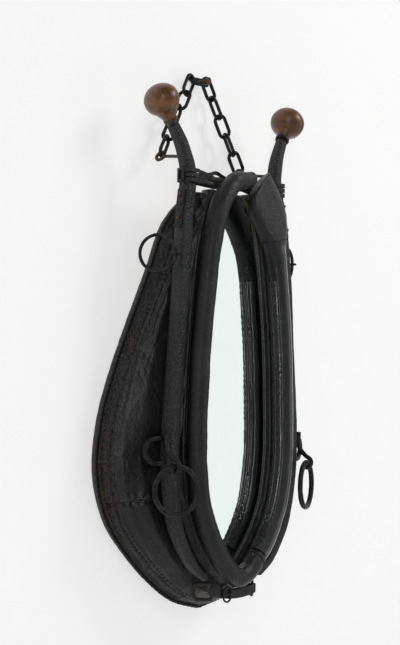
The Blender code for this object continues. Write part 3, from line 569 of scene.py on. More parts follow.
def make_wall_paint():
    """White paint seen from the room; from behind the wall lets everything through."""
    s = Shade("wall_paint", Roughness=0.9, Specular_IOR_Level=0.0, Base_Color=(0.50, 0.50, 0.50, 1.0),
              Emission_Color=(1.0, 1.0, 1.0, 1.0), Emission_Strength=0.605)
    behind = s.node("NewGeometry", {}, "Backfacing")
    clear = s.node("BsdfTransparent", {}, 0)
    both = s.node("MixShader", {0: behind, 1: s.shader.outputs[0], 2: clear}, 0)
    s.wire(both, s.tree.nodes["Material Output"].inputs["Surface"])
    return s.material


def make_stage():
    wall = new_object("wall", [(-6, 0, -1.6), (6, 0, -1.6), (6, 0, 3.5), (-6, 0, 3.5)],
                      [(0, 1, 2, 3)], make_wall_paint(), smooth=False)
    if wall.data.polygons[0].normal.y > 0:
        wall.data.flip_normals()
    floor_paint = Shade("floor_paint", Roughness=0.8, Base_Color=(0.80, 0.80, 0.79, 1.0)).material
    floor = new_object("floor", [(-6, -7, -1.6), (6, -7, -1.6), (6, 6, -1.6), (-6, 6, -1.6)],
                       [(0, 1, 2, 3)], floor_paint, smooth=False)


COLLAR_MIDDLE = Vector((0.0, -0.05, -0.45))


def add_light(name, place, size, power, color=(1.0, 1.0, 1.0)):
    """A soft rectangular light that faces the collar's middle."""
    data = bpy.data.lights.new(name, "AREA")
    data.shape = "RECTANGLE"
    data.size, data.size_y = size
    data.energy = power
    data.color = color
    light = bpy.data.objects.new(name, data)
    light.location = place
    light.rotation_euler = (COLLAR_MIDDLE - Vector(place)).to_track_quat("-Z", "Y").to_euler()
    bpy.context.scene.collection.objects.link(light)


def make_lights():
    world = bpy.data.worlds.new("studio")
    world.use_nodes = True
    sky = world.node_tree.nodes["Background"].inputs
    sky["Color"].default_value = (0.93, 0.95, 0.97, 1.0)
    sky["Strength"].default_value = 0.12
    bpy.context.scene.world = world
    add_light("key", (2.0, -2.2, 1.7), (1.1, 1.1), 42.0, (1.0, 0.99, 0.97))
    add_light("fill", (-2.8, -3.2, 1.4), (2.4, 2.4), 14.0, (0.95, 0.97, 1.0))
    add_light("card", (2.35, -1.98, -0.50), (1.5, 2.4), 9.5, (0.95, 0.99, 0.975))
    add_light("strip", (-2.30, -2.10, 0.1), (0.20, 2.8), 17.0)


CAMERA_AZIMUTH = math.radians(50)
CAMERA_DISTANCE = 3.15
CAMERA_HEIGHT = -0.498
CAMERA_ROLL = math.radians(-0.9)


def make_camera():
    data = bpy.data.cameras.new("camera")
    data.sensor_width, data.lens = 36.0, 107.8
    data.shift_x, data.shift_y = 0.0209, 0.1016
    data.clip_start, data.clip_end = 0.05, 60.0
    camera = bpy.data.objects.new("camera", data)
    camera.location = (-CAMERA_DISTANCE * math.sin(CAMERA_AZIMUTH),
                       -CAMERA_DISTANCE * math.cos(CAMERA_AZIMUTH), CAMERA_HEIGHT)
    camera.rotation_euler = (math.pi / 2, CAMERA_ROLL, -CAMERA_AZIMUTH)
    bpy.context.scene.collection.objects.link(camera)
    bpy.context.scene.camera = camera


bpy.context.scene.view_settings.view_transform = "Standard"
make_stage()
make_lights()
make_camera()

# ---- Padded leather ----

low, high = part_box("front_roll_right")
ROLL_Y = 0.5 * (low[1] + high[1])
SEAM_Z = low[2] + 0.004
CAP_LOW_Z = high[2]


def throat_and_rim(count):
    """Paired points down the right side: the throat's wall and the body's outer edge."""
    throat = smooth_line(OPENING[1:], count)
    throat = throat - outward_of(directions(throat)) * THROAT_OFFSET
    throat[-1] = (0.0, throat[-1, 1])
    return throat, smooth_line(RIM, count)


def nearest_on(line, points):
    """For each point its distance to a line and the run along the line to there."""
    run = run_of(line)
    gaps, places = [], []
    for start in range(0, len(points), 4000):
        part = points[start:start + 4000]
        d = np.linalg.norm(part[:, None, :] - line[None, :, :], axis=2)
        gaps.append(d.min(axis=1))
        places.append(run[d.argmin(axis=1)])
    return np.concatenate(gaps), np.concatenate(places)


def swell(piece, voxel, pressure, most, frames=20):
    """Cloth under pressure: the pad fills out, and no point moves further than most."""
    remeshed(piece, voxel, 0)
    before = vertices_of(piece)
    cloth = piece.modifiers.new("cloth", "CLOTH")
    cloth.settings.effector_weights.gravity = 0.0
    for key, value in {"use_pressure": True, "uniform_pressure_force": pressure, "quality": 6,
                       "tension_stiffness": 25.0, "compression_stiffness": 25.0,
                       "bending_stiffness": 2.0}.items():
        setattr(cloth.settings, key, value)
    cloth.collision_settings.use_collision = False
    cloth.point_cache.frame_start = 1
    cloth.point_cache.frame_end = frames
    for step in range(1, frames + 1):
        bpy.context.scene.frame_set(step)
    apply_modifiers(piece)
    bpy.context.scene.frame_set(1)
    moved = vertices_of(piece) - before
    length = np.linalg.norm(moved, axis=1)[:, None]
    move_vertices(piece, before + moved * np.minimum(1.0, most / np.maximum(length, 1e-9)))
    smooth = piece.modifiers.new("smooth", "SMOOTH")
    smooth.factor = 0.5
    smooth.iterations = 3
    finer = piece.modifiers.new("finer", "SUBSURF")
    finer.levels = finer.render_levels = 1
    apply_modifiers(piece)
    piece.data.shade_smooth()


def press_out(piece, shell, short, share=1.0):
    """Moves each point a share of the way to the shell's outer face, less a small distance."""
    tree = surface_of(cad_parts[shell])
    reach = 0.020
    points = vertices_of(piece)
    normals = normals_of(piece)
    move = np.zeros(len(points))
    for k, (p, n) in enumerate(zip(points, normals)):
        far = tree.ray_cast(Vector(p + n * reach), Vector(-n), reach + 0.004)[3]
        if far is not None and reach - far < 0.012:
            move[k] = share * (reach - far - short)
    move_vertices(piece, points + normals * move[:, None])


def back_of(place, rim):
    """How far back the body reaches beside each place along its rim."""
    return np.interp(place, run_of(rim[:, :3]), rim[:, 3])


def make_body(side, sign):
    """One stuffed half of the body: its leather pulled over the straw, with its seams."""
    pad = copy_of(f"straw_core_{side}", f"body_pad_{side}", BODY_LEATHER)
    remeshed(pad, 0.004, 4)
    press_out(pad, f"body_leather_{side}", 0.0026)
    swell(pad, voxel=0.0045, pressure=4.0, most=0.0034)
    press_out(pad, f"body_leather_{side}", 0.0002, share=0.8)
    points = vertices_of(pad)
    normals = normals_of(pad)
    _, rim = throat_and_rim(260)
    edge = rim[:, :3] * (sign, 1.0, 1.0)
    gap, place = nearest_on(edge, points)
    front = np.clip(-normals[:, 1] * 1.6 + 0.35, 0.0, 1.0)
    lumps = rolling(points, 0.050, 1.0) * 0.0016 + rolling(points, 0.022, 2.0) * 0.0006
    out = lumps.copy()
    # The band sewn along the rim: two seams, puckered between their stitches.
    band = ramp(0.024 - gap, 0.004) * ramp(gap - 0.004, 0.003)
    pucker = np.cos(place * 2 * math.pi / 0.0085 + 2.5 * rolling(points, 0.03, 3.0))
    for seam, depth in ((0.0085, 0.0018), (0.0235, 0.0028)):
        out -= depth * bell(gap - seam, 0.0017) * (1.0 + 0.45 * pucker) * front
        out += 0.5 * depth * bell(gap - seam - 0.0035, 0.0022) * (1.0 + 0.5 * pucker) * front
    out += band * rolling(points, 0.0065, 4.0) * 0.0013
    # Lighter ridges beside the band, where the leather is drawn to the seam.
    for beside in (0.031, 0.038, 0.046):
        upper = ramp(points[:, 2] + 0.50, 0.10)
        out += 0.0012 * bell(gap - beside - 0.004 * rolling(points, 0.05, 8.0), 0.0022) * front * upper
    # A joint in the leather low on the pad, drawn in by its stitches.
    x = np.abs(points[:, 0])
    seam_z = -0.668 - 0.10 * (x - 0.150) - 1.2 * (x - 0.150) ** 2
    across = (points[:, 2] - seam_z) + 0.0012 * rolling(points, 0.018, 5.0)
    there = ramp(x - 0.166, 0.012) * front
    pull = np.cos(x * 2 * math.pi / 0.0110)
    out -= 0.0034 * bell(across, 0.0034) * there * (1.0 + 0.4 * pull)
    out += 0.0026 * bell(across - 0.0075, 0.0052) * there * (1.0 + 0.6 * pull)
    # Creases that fan out under the lashing at the top.
    top = ramp(points[:, 2] + 0.275, 0.070)
    fan = np.arctan2(x - 0.094, points[:, 2] + 0.120)
    out += 0.0022 * top * np.cos(fan * 26.0 + 1.6 * rolling(points, 0.02, 6.0)) * front
    # Long soft creases down the flank.
    flank = ramp(gap - 0.030, 0.02) * front
    stretched = points * (1.6, 1.0, 0.55)
    out += flank * rolling(stretched, 0.034, 7.0) * 0.0020
    crease = np.abs(rolling(points * (2.2, 1.0, 0.8), 0.026, 9.0))
    out -= flank * np.clip(0.07 - crease, 0.0, 0.07) * 0.011
    made = points + normals * out[:, None]
    made[:, 1] = np.minimum(made[:, 1], back_of(place, rim) - 0.0042)
    # Both halves meet at the bottom: their rounded ends are drawn together there.
    aside = np.abs(made[:, 0])
    drawn = 0.0035 * ramp(0.010 - aside, 0.006)
    made[:, 0] = sign * np.maximum(0.0006, aside - drawn)
    move_vertices(pad, made)
    paint(pad, "band", band)
    worn = bell(points[:, 2] + 0.625, 0.060) + 0.8 * bell(points[:, 2] + 0.425, 0.020)
    paint(pad, "wear", ramp(worn) * ramp(0.030 - gap, 0.008))
    fit(pad, "body_leather", f"body_leather_{side}", f"straw_core_{side}")
    make_body_stitches(pad, side, sign)


def section_directions(line):
    """At each point of a line in the collar's plane, the direction square to it and outward."""
    out = unit(np.cross(directions(line), (0.0, 1.0, 0.0)))
    middle = np.array((0.0, line[:, 1].mean(), -0.50))
    facing = np.sign(np.sum(out * (line - middle), axis=1))
    return out * np.where(facing == 0, 1.0, facing)[:, None]


def make_roll(node, line, taper, seed, pucker, leather):
    """A stuffed roll of leather: long ripples and puckers on its inner side, lumps all over."""
    out = section_directions(line)
    steady = directions(line)
    out = np.cross(np.cross(steady, out), steady)
    if out[len(out) // 2].dot(section_directions(line)[len(out) // 2]) < 0:
        out = -out
    turn = circle(ROLL_SIDES)
    forward = np.cross(steady, out)
    forward = np.where(forward[:, 1:2] < 0, forward, -forward)
    rings = ring_about(out[:, None, :], forward[:, None, :], turn[None, :])
    flat = (line[:, None, :] + rings * ROLL_RADIUS).reshape(-1, 3)
    shape = (len(line), len(turn))
    lumps = (rolling(flat, 0.045, seed) * 0.0007 + rolling(flat, 0.016, seed + 1) * 0.00030).reshape(shape)
    angle = np.broadcast_to(turn[None, :], shape)
    drift = 0.10 * rolling(line, 0.09, seed + 2)[:, None]
    gather = np.cos(run_of(line)[:, None] * 2 * math.pi / 0.0105
                    + 4.0 * rolling(line, 0.030, seed + 3)[:, None])
    gather = gather * np.clip(0.45 + 1.2 * rolling(line, 0.045, seed + 5)[:, None], 0.0, 1.0)
    relief = lumps
    for where, width, height in ROLL_RIDGES:
        away = angle - where - drift
        relief += height * pucker * bell(away, width) * (1.0 + 0.30 * gather)
        relief -= height * pucker * 0.45 * bell(away - width * 1.45, 0.10) * (1.0 + 0.5 * gather)
    inner = bell(angle - math.radians(165), 0.75)
    cross = rolling(flat * (0.6, 0.6, 2.2), 0.012, seed + 4).reshape(shape)
    relief += cross * (0.00012 + 0.00038 * inner)
    radius = (ROLL_RADIUS * taper[:, None] + relief * np.sqrt(taper[:, None])) * 0.995
    made = rounded_ends(line, line[:, None, :] + rings * radius[:, :, None], (0.006, 0.006), steady,
                        ((0.35, 0.50), (0.70, 0.36), (0.90, 0.18)))
    roll = skin(node.replace("front_", ""), made, leather)
    end = np.zeros(3 * ROLL_SIDES)
    paint(roll, "gloss", np.concatenate((end, inner.reshape(-1), end, (0.0, 0.0))))
    fit(roll, "roll_leather", node)


def tapered(count, start=0):
    """A line's thickness at each step: full, but narrower over its first few and its last ten."""
    taper = np.ones(count)
    taper[:start] = 0.66 + 0.34 * np.sin(np.linspace(0.0, math.pi / 2, start))
    taper[-10:] *= 1.0 - 0.06 * np.linspace(0.0, 1.0, 10)
    return taper


def make_rolls():
    """The left roll runs from the top round the bottom to the seam, and the right one on up."""
    right = smooth_line(OPENING, 420)
    right = np.column_stack((right[:, 0], np.full(420, ROLL_Y), right[:, 1]))
    crossing = ((0.018, ROLL_Y, -0.161), (0.000, ROLL_Y, -0.165))
    below = right[:, 2] < SEAM_Z - 0.0015
    route = np.vstack((crossing, right[:-1][::7] * MIRROR_X, right[below][::-1][::7]))
    make_roll("front_roll_left", smooth_line(route, 620), tapered(620, 70), 11.0, 0.35, ROLL_LEATHER)
    short = right[(right[:, 2] > SEAM_Z) & (right[:, 2] < CAP_LOW_Z)]
    top = short[0] + (short[0] - short[1]) / np.linalg.norm(short[0] - short[1]) * 0.004
    line = smooth_line(np.vstack((top, short[3::7], short[-1])), 360)
    make_roll("front_roll_right", line, tapered(360), 23.0, 1.15, WAXED_LEATHER)


def make_hames():
    """Rounded bars under glued leather, with the leather's seam raised down the inner back."""
    rows = smooth_line([(*p, *s) for p, s in zip(HAME, HAME_SECTION)], 300)
    travel = directions(rows[:, :3])
    out = unit(np.cross(travel, (0.0, 1.0, 0.0)))
    deep = np.cross(out, travel)
    turn = circle(56)
    wide, thick = squared(turn, 2.0 / 3.4)
    rings = (rows[:, None, :3] + out[:, None, :] * (wide[None, :] * rows[:, 3:4] / 2)[:, :, None]
             + deep[:, None, :] * (thick[None, :] * rows[:, 4:5] / 2)[:, :, None])
    radial = rings - rows[:, None, :3]
    radial = radial / np.linalg.norm(radial, axis=2)[:, :, None]
    for side, sign in SIDES.items():
        flat = rings.reshape(-1, 3)
        relief = rolling(flat, 0.030, 31.0 + sign) * 0.00045 + rolling(flat, 0.009, 33.0 + sign) * 0.00022
        seam = bell(turn - math.radians(236), 0.10) * 0.0007
        relief = relief.reshape(rings.shape[:2]) + seam[None, :]
        made = (rings + radial * relief[:, :, None]) * (sign, 1.0, 1.0)
        fit(skin(f"hame_bar_{side}", made, HAME_LEATHER), "hame_black", f"hame_{side}")


# The lapel's stations upward: inner x and z, outer x and z, front y, back y.
LAPEL = (
    (0.0735, -0.3230, 0.1062, -0.3190, -0.1308, -0.0992),
    (0.0690, -0.3020, 0.1035, -0.2970, -0.1312, -0.0992),
    (0.0605, -0.2790, 0.1025, -0.2710, -0.1312, -0.0995),
    (0.0475, -0.2560, 0.1035, -0.2450, -0.1300, -0.1005),
    (0.0350, -0.2390, 0.1045, -0.2260, -0.1285, -0.1020),
    (0.0250, -0.2270, 0.1045, -0.2120, -0.1270, -0.1030),
    (0.0150, -0.2080, 0.0990, -0.1960, -0.1250, -0.1035),
    (0.0160, -0.1910, 0.0830, -0.1730, -0.1230, -0.1040),
    (0.0310, -0.1730, 0.0630, -0.1480, -0.1210, -0.1050),
)


def make_cap():
    """The roll's flat end: it grows out of the roll and is pressed flat to a crisp outer edge."""
    rows = smooth_line(LAPEL, 150)
    rings = []
    for k, row in enumerate(rows):
        share = k / 149
        inner = np.array((row[0], 0.0, row[1]))
        outer = np.array((row[2], 0.0, row[3]))
        power = 2.0 / (2.0 + 1.6 * np.clip((share - 0.25) * 3.0, 0.0, 1.0))
        a, b = squared(circle(96), power)
        thin = 1.0 - 0.30 * share * ramp(a)
        middle = 0.5 * (row[4] + row[5])
        half = 0.5 * (row[5] - row[4])
        y = middle + half * b * thin + 0.0007 * share * bell(a + 0.75, 0.30) * (b < 0) * -1.0
        spots = 0.5 * (inner + outer) + 0.5 * (outer - inner) * a[:, None]
        spots[:, 1] = y
        rings.append(spots)
    rings = np.array(rings)
    flat = rings.reshape(-1, 3)
    relief = rolling(flat, 0.030, 41.0) * 0.0008 + rolling(flat * (1.6, 1.0, 0.6), 0.010, 42.0) * 0.0004
    pushed = rings.copy()
    pushed[:, :, 1] += relief.reshape(rings.shape[:2])
    cap = skin("cap_lapel", pushed, ROLL_LEATHER)
    paint(cap, "gloss", np.full(len(cap.data.vertices), 0.6))
    level = int(np.argmin(np.abs(rows[:, 1] + 0.262)))
    line = rings[level] + unit(rings[level] - rings[level].mean(axis=0)) * 0.0006
    fit(skin("lapel_seam", tube_rings(line, 0.00060, 6, loop=True), BLACK_THREAD, loop=True), "roll_leather")
    fit(cap, "roll_leather", "top_cap")


def swept_oval(middle, out, half_wide, power, sides):
    """For an oval swept along a line: its points' x and z, and their share of its half depth."""
    a, b = squared(circle(sides), power)
    x, z = [middle[:, k:k + 1] + out[:, k:k + 1] * a[None, :] * half_wide for k in (0, 1)]
    return x, z, b[None, :]


def make_neck(side, sign):
    """The leather's turned-in neck, which closes the body against the roll all round."""
    throat, _ = throat_and_rim(320)
    outward = outward_of(directions(throat))
    half_wide, half_deep = 0.0072, 0.0150
    x, z, b = swept_oval(throat + outward * (half_wide + 0.0004), outward, half_wide, 0.6, 40)
    rings = np.stack((np.maximum(x, 0.0004), np.broadcast_to(-0.0788 + b * half_deep, x.shape), z), axis=2)
    uneven = rolling(rings.reshape(-1, 3), 0.014, 45.0).reshape(x.shape)
    rings[:, :, 1] += uneven * 0.0004
    neck = skin(f"body_neck_{side}", rings * (sign, 1.0, 1.0), BODY_LEATHER)
    for layer in ("band", "wear"):
        paint(neck, layer, np.zeros(len(neck.data.vertices)))
    fit(neck, "body_leather")


# ---- Iron and wood ----


def frame_of(node):
    """A closed wire piece's centre, its long, wide and flat directions, and its half sizes."""
    points = vertices_of(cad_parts[node])
    middle = 0.5 * (points.min(axis=0) + points.max(axis=0))
    axes = np.linalg.svd(points - points.mean(axis=0), full_matrices=False)[2]
    reach = (points - middle) @ axes.T
    center = middle + (0.5 * (reach.min(axis=0) + reach.max(axis=0))) @ axes
    return center, axes, 0.5 * (reach.max(axis=0) - reach.min(axis=0))


def even_loop(points, count):
    """The same closed line with its points at even steps."""
    closed = np.vstack((points, points[:1]))
    run = run_of(closed)
    return read_at(closed, run, np.linspace(0.0, run[-1], count, endpoint=False))


def rounded_line(center, axes, half_length, half_width, corner, count):
    """A rectangle with round corners: an oval or a circle where the corners take it all."""
    points = []
    for a, b, start in ((1, 1, 0), (-1, 1, 90), (-1, -1, 180), (1, -1, 270)):
        for k in range(16):
            turn = math.radians(start + 90 * k / 15)
            reach = a * (half_length - corner) + corner * math.cos(turn)
            side = b * (half_width - corner) + corner * math.sin(turn)
            points.append(center + reach * axes[0] + side * axes[1])
    return even_loop(np.array(points), count)


def slot_of(material):
    """The slot with the material's own name; Blender may have numbered the material."""
    return material.name.split(".")[0]


def wire_loop(node, wire, material=FORGED_IRON, body="collar", corner=None, count=96, dent=0.06):
    """A bent and welded wire piece, hammered a little uneven."""
    center, axes, half = frame_of(node)
    line = rounded_line(center, axes, half[0] - wire, half[1] - wire, corner or half[1] - wire, count)
    uneven = 1.0 + dent * rolling(line, 0.012, 51.0) - 0.3 * dent
    rings = tube_rings(line, wire * uneven, 18, loop=True, first=axes[2])
    radial = rings - line[:, None, :]
    dents = rolling(rings.reshape(-1, 3), 0.0045, 52.0).reshape(rings.shape[:2])
    made = skin(f"{node}_worn", rings + radial * (dents * dent * 0.8)[:, :, None], material, loop=True)
    fit(made, slot_of(material), node, body=body)


def worn_copy(node, voxel, material=FORGED_IRON, slot=None, body="collar", rounds=4, grow=0.0001):
    """A CAD piece with its facets rubbed round and its faces hammered a little uneven."""
    made = copy_of(node, f"{node}_worn", material)
    remeshed(made, voxel, rounds)
    points = vertices_of(made)
    move = grow + 0.0002 * rolling(points, 0.0045, 53.0)
    move_vertices(made, points + normals_of(made) * move[:, None])
    fit(made, slot or slot_of(material), node, body=body)


LINK_WIRE = 0.0029
LOOP_WIRE = 0.0024
LINKS_PER_LEG = 5


def make_chain():
    links = ["chain_link_top"]
    links += [f"chain_link_{side}_{k + 1}" for side in SIDES for k in range(LINKS_PER_LEG)]
    for node in links:
        wire_loop(node, LINK_WIRE, CHAIN_IRON, "chain", count=72)
    for side in SIDES:
        worn_copy(f"chain_hook_{side}", 0.0006, RUSTY_IRON, grow=0.0002)


def make_rings():
    for side in SIDES:
        wire_loop(f"terret_ring_{side}", 0.0027, body=f"rein_ring_{side}", count=150, dent=0.05)
        wire_loop(f"draft_ring_{side}", 0.0043, body=f"tug_ring_{side}", count=170)
        worn_copy(f"terret_eye_{side}", 0.0005)
        worn_copy(f"draft_staple_{side}", 0.0009, grow=0.0002)
        worn_copy(f"draft_hook_{side}", 0.0009, grow=0.0002)
        worn_copy(f"hame_plate_{side}", 0.0007, rounds=2)
        for place in ("upper", "lower"):
            worn_copy(f"rivet_{side}_{place}", 0.0005, RUSTY_IRON, rounds=3)


KNOB_LEAN = np.array((0.52, 0.10, 0.85))
KNOB_RADIUS = 0.0282
KNOB_HALF_HEIGHT = 0.0252
KNOB_NECK_RADIUS = 0.0085
KNOB_NECK_LENGTH = 0.0150
# Each knob's own neck: how much it flares, where the ball starts in degrees, how high it is dark.
KNOB_NECKS = {"left": (1.22, -48, 0.0075), "right": (1.0, -58, 0.0120)}


def make_knobs():
    """Turned wooden balls, a little flat at the poles, on necks that flare into them."""
    middle = KNOB_NECK_LENGTH + KNOB_HALF_HEIGHT * 0.92
    for side, sign in SIDES.items():
        flare, start, dark_to = KNOB_NECKS[side]
        profile = [(KNOB_NECK_RADIUS * 0.80, -0.0075), (KNOB_NECK_RADIUS * 0.93, -0.0020),
                   (KNOB_NECK_RADIUS * flare, 0.004), (KNOB_NECK_RADIUS * 1.06 * flare, 0.007),
                   (KNOB_NECK_RADIUS * 1.25 * flare, 0.011)]
        for step in np.linspace(math.radians(start), math.radians(88), 30):
            height = middle + KNOB_HALF_HEIGHT * math.sin(step)
            profile.append((KNOB_RADIUS * math.cos(step), height))
        profile = smooth_line([(r, 0.0, h) for r, h in profile], 90)
        axis = KNOB_LEAN * (sign, 1.0, 1.0)
        base = (np.array(HAME[0]) + KNOB_LEAN * 0.0045) * (sign, 1.0, 1.0)
        axis = axis / np.linalg.norm(axis)
        one = np.cross(axis, (0.0, 1.0, 0.0))
        one = one / np.linalg.norm(one)
        around = ring_about(one, np.cross(axis, one), circle(72))
        rings = base + profile[:, None, 2:3] * axis + profile[:, None, 0:1] * around[None, :, :]
        flat = rings.reshape(-1, 3)
        wear = rolling(flat, 0.020, 61.0 + sign) * 0.00035 + rolling(flat, 0.006, 62.0) * 0.00010
        radial = np.broadcast_to(around[None, :, :], rings.shape).reshape(-1, 3)
        made = (flat + radial * wear[:, None]).reshape(rings.shape)
        knob = skin(f"knob_ball_{side}", made, KNOB_WOOD)
        height = np.repeat(profile[:, 2], 72)
        neck = ramp(dark_to - height, 0.006)
        paint(knob, "neck", np.concatenate((neck, (1.0, 0.0))))
        fit(knob, "knob_wood", f"knob_{side}")
    worn_copy("ferrule_left", 0.0006, DARK_WOOD, slot="knob_wood", rounds=6)
    worn_copy("ferrule_right", 0.0006)


# ---- Straps and cord ----


def ribbon_rings(line, up, width, thickness, twist, groove=0.0, sides=28):
    """Rings of a flat strap in a closed loop; groove sinks a fold down its middle."""
    travel = directions(line, loop=True)
    a, b = squared(circle(sides), 2.0 / 4.5)
    b = b * (1.0 - groove * bell(a, 0.28))
    face = unit(np.cross(travel, up))
    wide = np.cross(face, travel)
    c, s = np.cos(twist)[:, None], np.sin(twist)[:, None]
    across, deep = (c * wide + s * face)[:, None, :], (c * face - s * wide)[:, None, :]
    return (line[:, None, :] + a[:, None] * across * width[:, None, None] / 2
            + b[:, None] * deep * thickness / 2)


def make_lashing():
    """Turns of soft old strap, each folded down its middle and lying unevenly."""
    thickness = 0.0024
    for k, place in enumerate(("upper", "middle", "lower")):
        node = f"lashing_{place}"
        low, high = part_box(node)
        outer = high[0] - 0.0012
        front, back = low[1] + 0.0012, high[1] - 0.0012
        left_z = high[2] - 0.0035
        slope = (high[2] - low[2] - 0.0070) / (2 * outer)
        inner = outer - 0.024
        half = ((0.0, -0.0935), (0.040, -0.0935), (inner - 0.012, -0.0950), (inner, front),
                (outer - 0.004, front), (outer, front + 0.005), (outer, back - 0.005),
                (outer - 0.004, back), (inner, back), (0.040, back), (0.0, back))
        outline = list(half) + [(-x, y) for x, y in half[-2:0:-1]]
        line = even_loop(np.array([(x, y, 0.0) for x, y in outline]), 420)
        soft = softened(line, 14)
        free = ramp(inner - 0.010 - np.abs(soft[:, 0]), 0.02)
        soft[:, 2] = left_z - slope * (soft[:, 0] + outer)
        soft[:, 2] += free * rolling(soft, 0.030, 71.0 + 5 * k) * 0.0050 + (k - 1) * 0.0012 * free
        soft[:, 1] += free * rolling(soft, 0.032, 75.0 + 5 * k) * 0.0022
        twist = free * rolling(soft, 0.035, 79.0 + 5 * k) * 1.3
        held = 1.0 - 0.16 * np.abs(rolling(soft, 0.012, 87.0 + k))
        width = 0.0066 * held * (1.0 - 0.32 * free * np.abs(rolling(soft, 0.024, 83.0 + k)))
        rings = ribbon_rings(soft, UP, width, thickness, twist, groove=0.45)
        fit(skin(f"lashing_turn_{place}", rings, STRAP_LEATHER, loop=True), "strap_leather", node)


def make_knot():
    """The bight of the lashing's knot beside the left hame."""
    center, axes, half = frame_of("lashing_knot")
    line = rounded_line(center, axes, half[0] - 0.0020, half[1] - 0.0020, half[1] - 0.0020, 70)
    width = 0.0040 + 0.0006 * rolling(line, 0.008, 91.0)
    rings = ribbon_rings(line, axes[2], width, 0.0030, np.zeros(70), groove=0.3, sides=18)
    bight = skin("lashing_bight", rings, STRAP_LEATHER, loop=True)
    fit(bight, "strap_leather", "lashing_knot")


STRAP_WIDTH = 0.0148
STRAP_HOLES = 4
STRAP_HOLE_STEP = 0.0095


def make_bottom_strap():
    """The strap through both loops, with its row of holes."""
    low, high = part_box("bottom_strap")
    thickness = 0.0028
    half_x = high[0] - thickness / 2
    half_y = (high[1] - low[1] - thickness) / 2
    center = np.array((0.0, 0.5 * (low[1] + high[1]), 0.0))
    line = rounded_line(center, np.eye(3), half_x, half_y, half_y, 420)
    sag = (high[2] - low[2]) - 0.0150
    top = high[2] - 0.0075
    line[:, 2] = top - sag * np.clip(1.0 - (line[:, 0] / (half_x - half_y)) ** 2, 0.0, 1.0)
    rings = ribbon_rings(line, UP, np.full(420, STRAP_WIDTH), thickness, np.zeros(420), sides=48)
    flat = rings.reshape(-1, 3)
    middle = np.repeat(line[:, 2], 48)
    dent = np.zeros(len(flat))
    for k in range(STRAP_HOLES):
        away = np.hypot(flat[:, 0] - 0.006 - k * STRAP_HOLE_STEP, flat[:, 2] - middle)
        dent += 0.0010 * bell(away, 0.0013) * (flat[:, 1] < center[1])
    flat[:, 1] += dent + rolling(flat, 0.012, 93.0) * 0.00018
    strap = skin("bottom_strap_worn", flat.reshape(rings.shape), STRAP_LEATHER, loop=True)
    fit(strap, "strap_leather", "bottom_strap")
    wire_loop("buckle_frame", 0.0016, dent=0.04)
    worn_copy("buckle_tongue", 0.0004, body="strap_tongue", rounds=2)
    wire_loop("hame_loop_right", LOOP_WIRE, corner=0.005)
    make_wound_loop()


def make_wound_loop():
    """The left loop, bound all round with a narrow brown lace."""
    center, axes, half = frame_of("hame_loop_left")
    line = rounded_line(center, axes, half[0] - LOOP_WIRE, half[1] - LOOP_WIRE, 0.009, 420)
    run = run_of(line)
    turns = np.abs(np.sin(run * math.pi / 0.0034 + 0.4 * rolling(line, 0.01, 95.0)))
    bound = 1.0 + 0.40 * ramp(np.abs(line[:, 0]) - 0.057, 0.006)
    rings = tube_rings(line, LOOP_WIRE * bound * (0.92 + 0.15 * turns), 18, loop=True, first=axes[2])
    loop = skin("hame_loop_left_wound", rings, LACE, loop=True)
    fit(loop, "strap_leather", "hame_loop_left")


def make_mirror_cord():
    """Two strands twisted together, laid round the mirror's edge."""
    low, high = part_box("mirror_cord")
    radius = 0.0014
    throat, _ = throat_and_rim(300)
    right = throat - outward_of(directions(throat)) * (radius + 0.0010)
    right[-1] = (0.0, throat[-1, 1] + radius + 0.0010)
    top = high[2] - radius
    right = right[right[:, 1] < top - 0.002]
    right = np.vstack(((right[0, 0] - 0.004, top), right))
    outline = np.vstack((right, right[:-1][::-1] * (-1, 1)))
    y = 0.5 * (low[1] + high[1])
    line = even_loop(np.column_stack((outline[:, 0], np.full(len(outline), y), outline[:, 1])), 2000)
    line = softened(line, 6)
    one, two = carried(line, (0.0, 1.0, 0.0), loop=True)
    length = run_of(np.vstack((line, line[:1])))[-1]
    spins = round(length / 0.0062)
    phase = np.arange(2000) / 2000 * spins * 2 * math.pi
    parts = []
    for start in (0.0, math.pi):
        offset = ring_about(one, two, phase + start)
        parts.append((tube_rings(line + offset * 0.00046, 0.00050, 7, loop=True), True))
    cord = many_skins("mirror_cord_twist", parts, PALE_CORD)
    paint(cord, "top", np.clip((vertices_of(cord)[:, 2] + 0.300) / 0.030, 0.0, 1.0))
    fit(cord, "mirror_cord", "mirror_cord")


# ---- Seams ----


def stitch(middle, along, lift, length, thickness):
    """A short thread bowed over the leather, with its ends sunk in."""
    along = along - lift * along.dot(lift)
    along = along / np.linalg.norm(along)
    steps = np.linspace(-0.5, 0.5, 7)
    height = thickness * (0.9 - 8.0 * steps**2)
    line = middle + steps[:, None] * length * along + height[:, None] * lift
    return tube_rings(line, thickness, 6, first=lift), False


def on_front(tree, x, z):
    """The first surface met from the front at a place, with its normal."""
    place, normal, _, _ = tree.ray_cast(Vector((x, -0.4, z)), Vector((0.0, 1.0, 0.0)))
    return (None, None) if place is None else (np.array(place), np.array(normal))


# The rim's two sewn seams: distance in from the rim, stitch spacing, stitch length and slant.
RIM_SEAMS = ((0.0095, 0.0085, 0.0050, 0.75), (0.0235, 0.0075, 0.0048, 0.12))


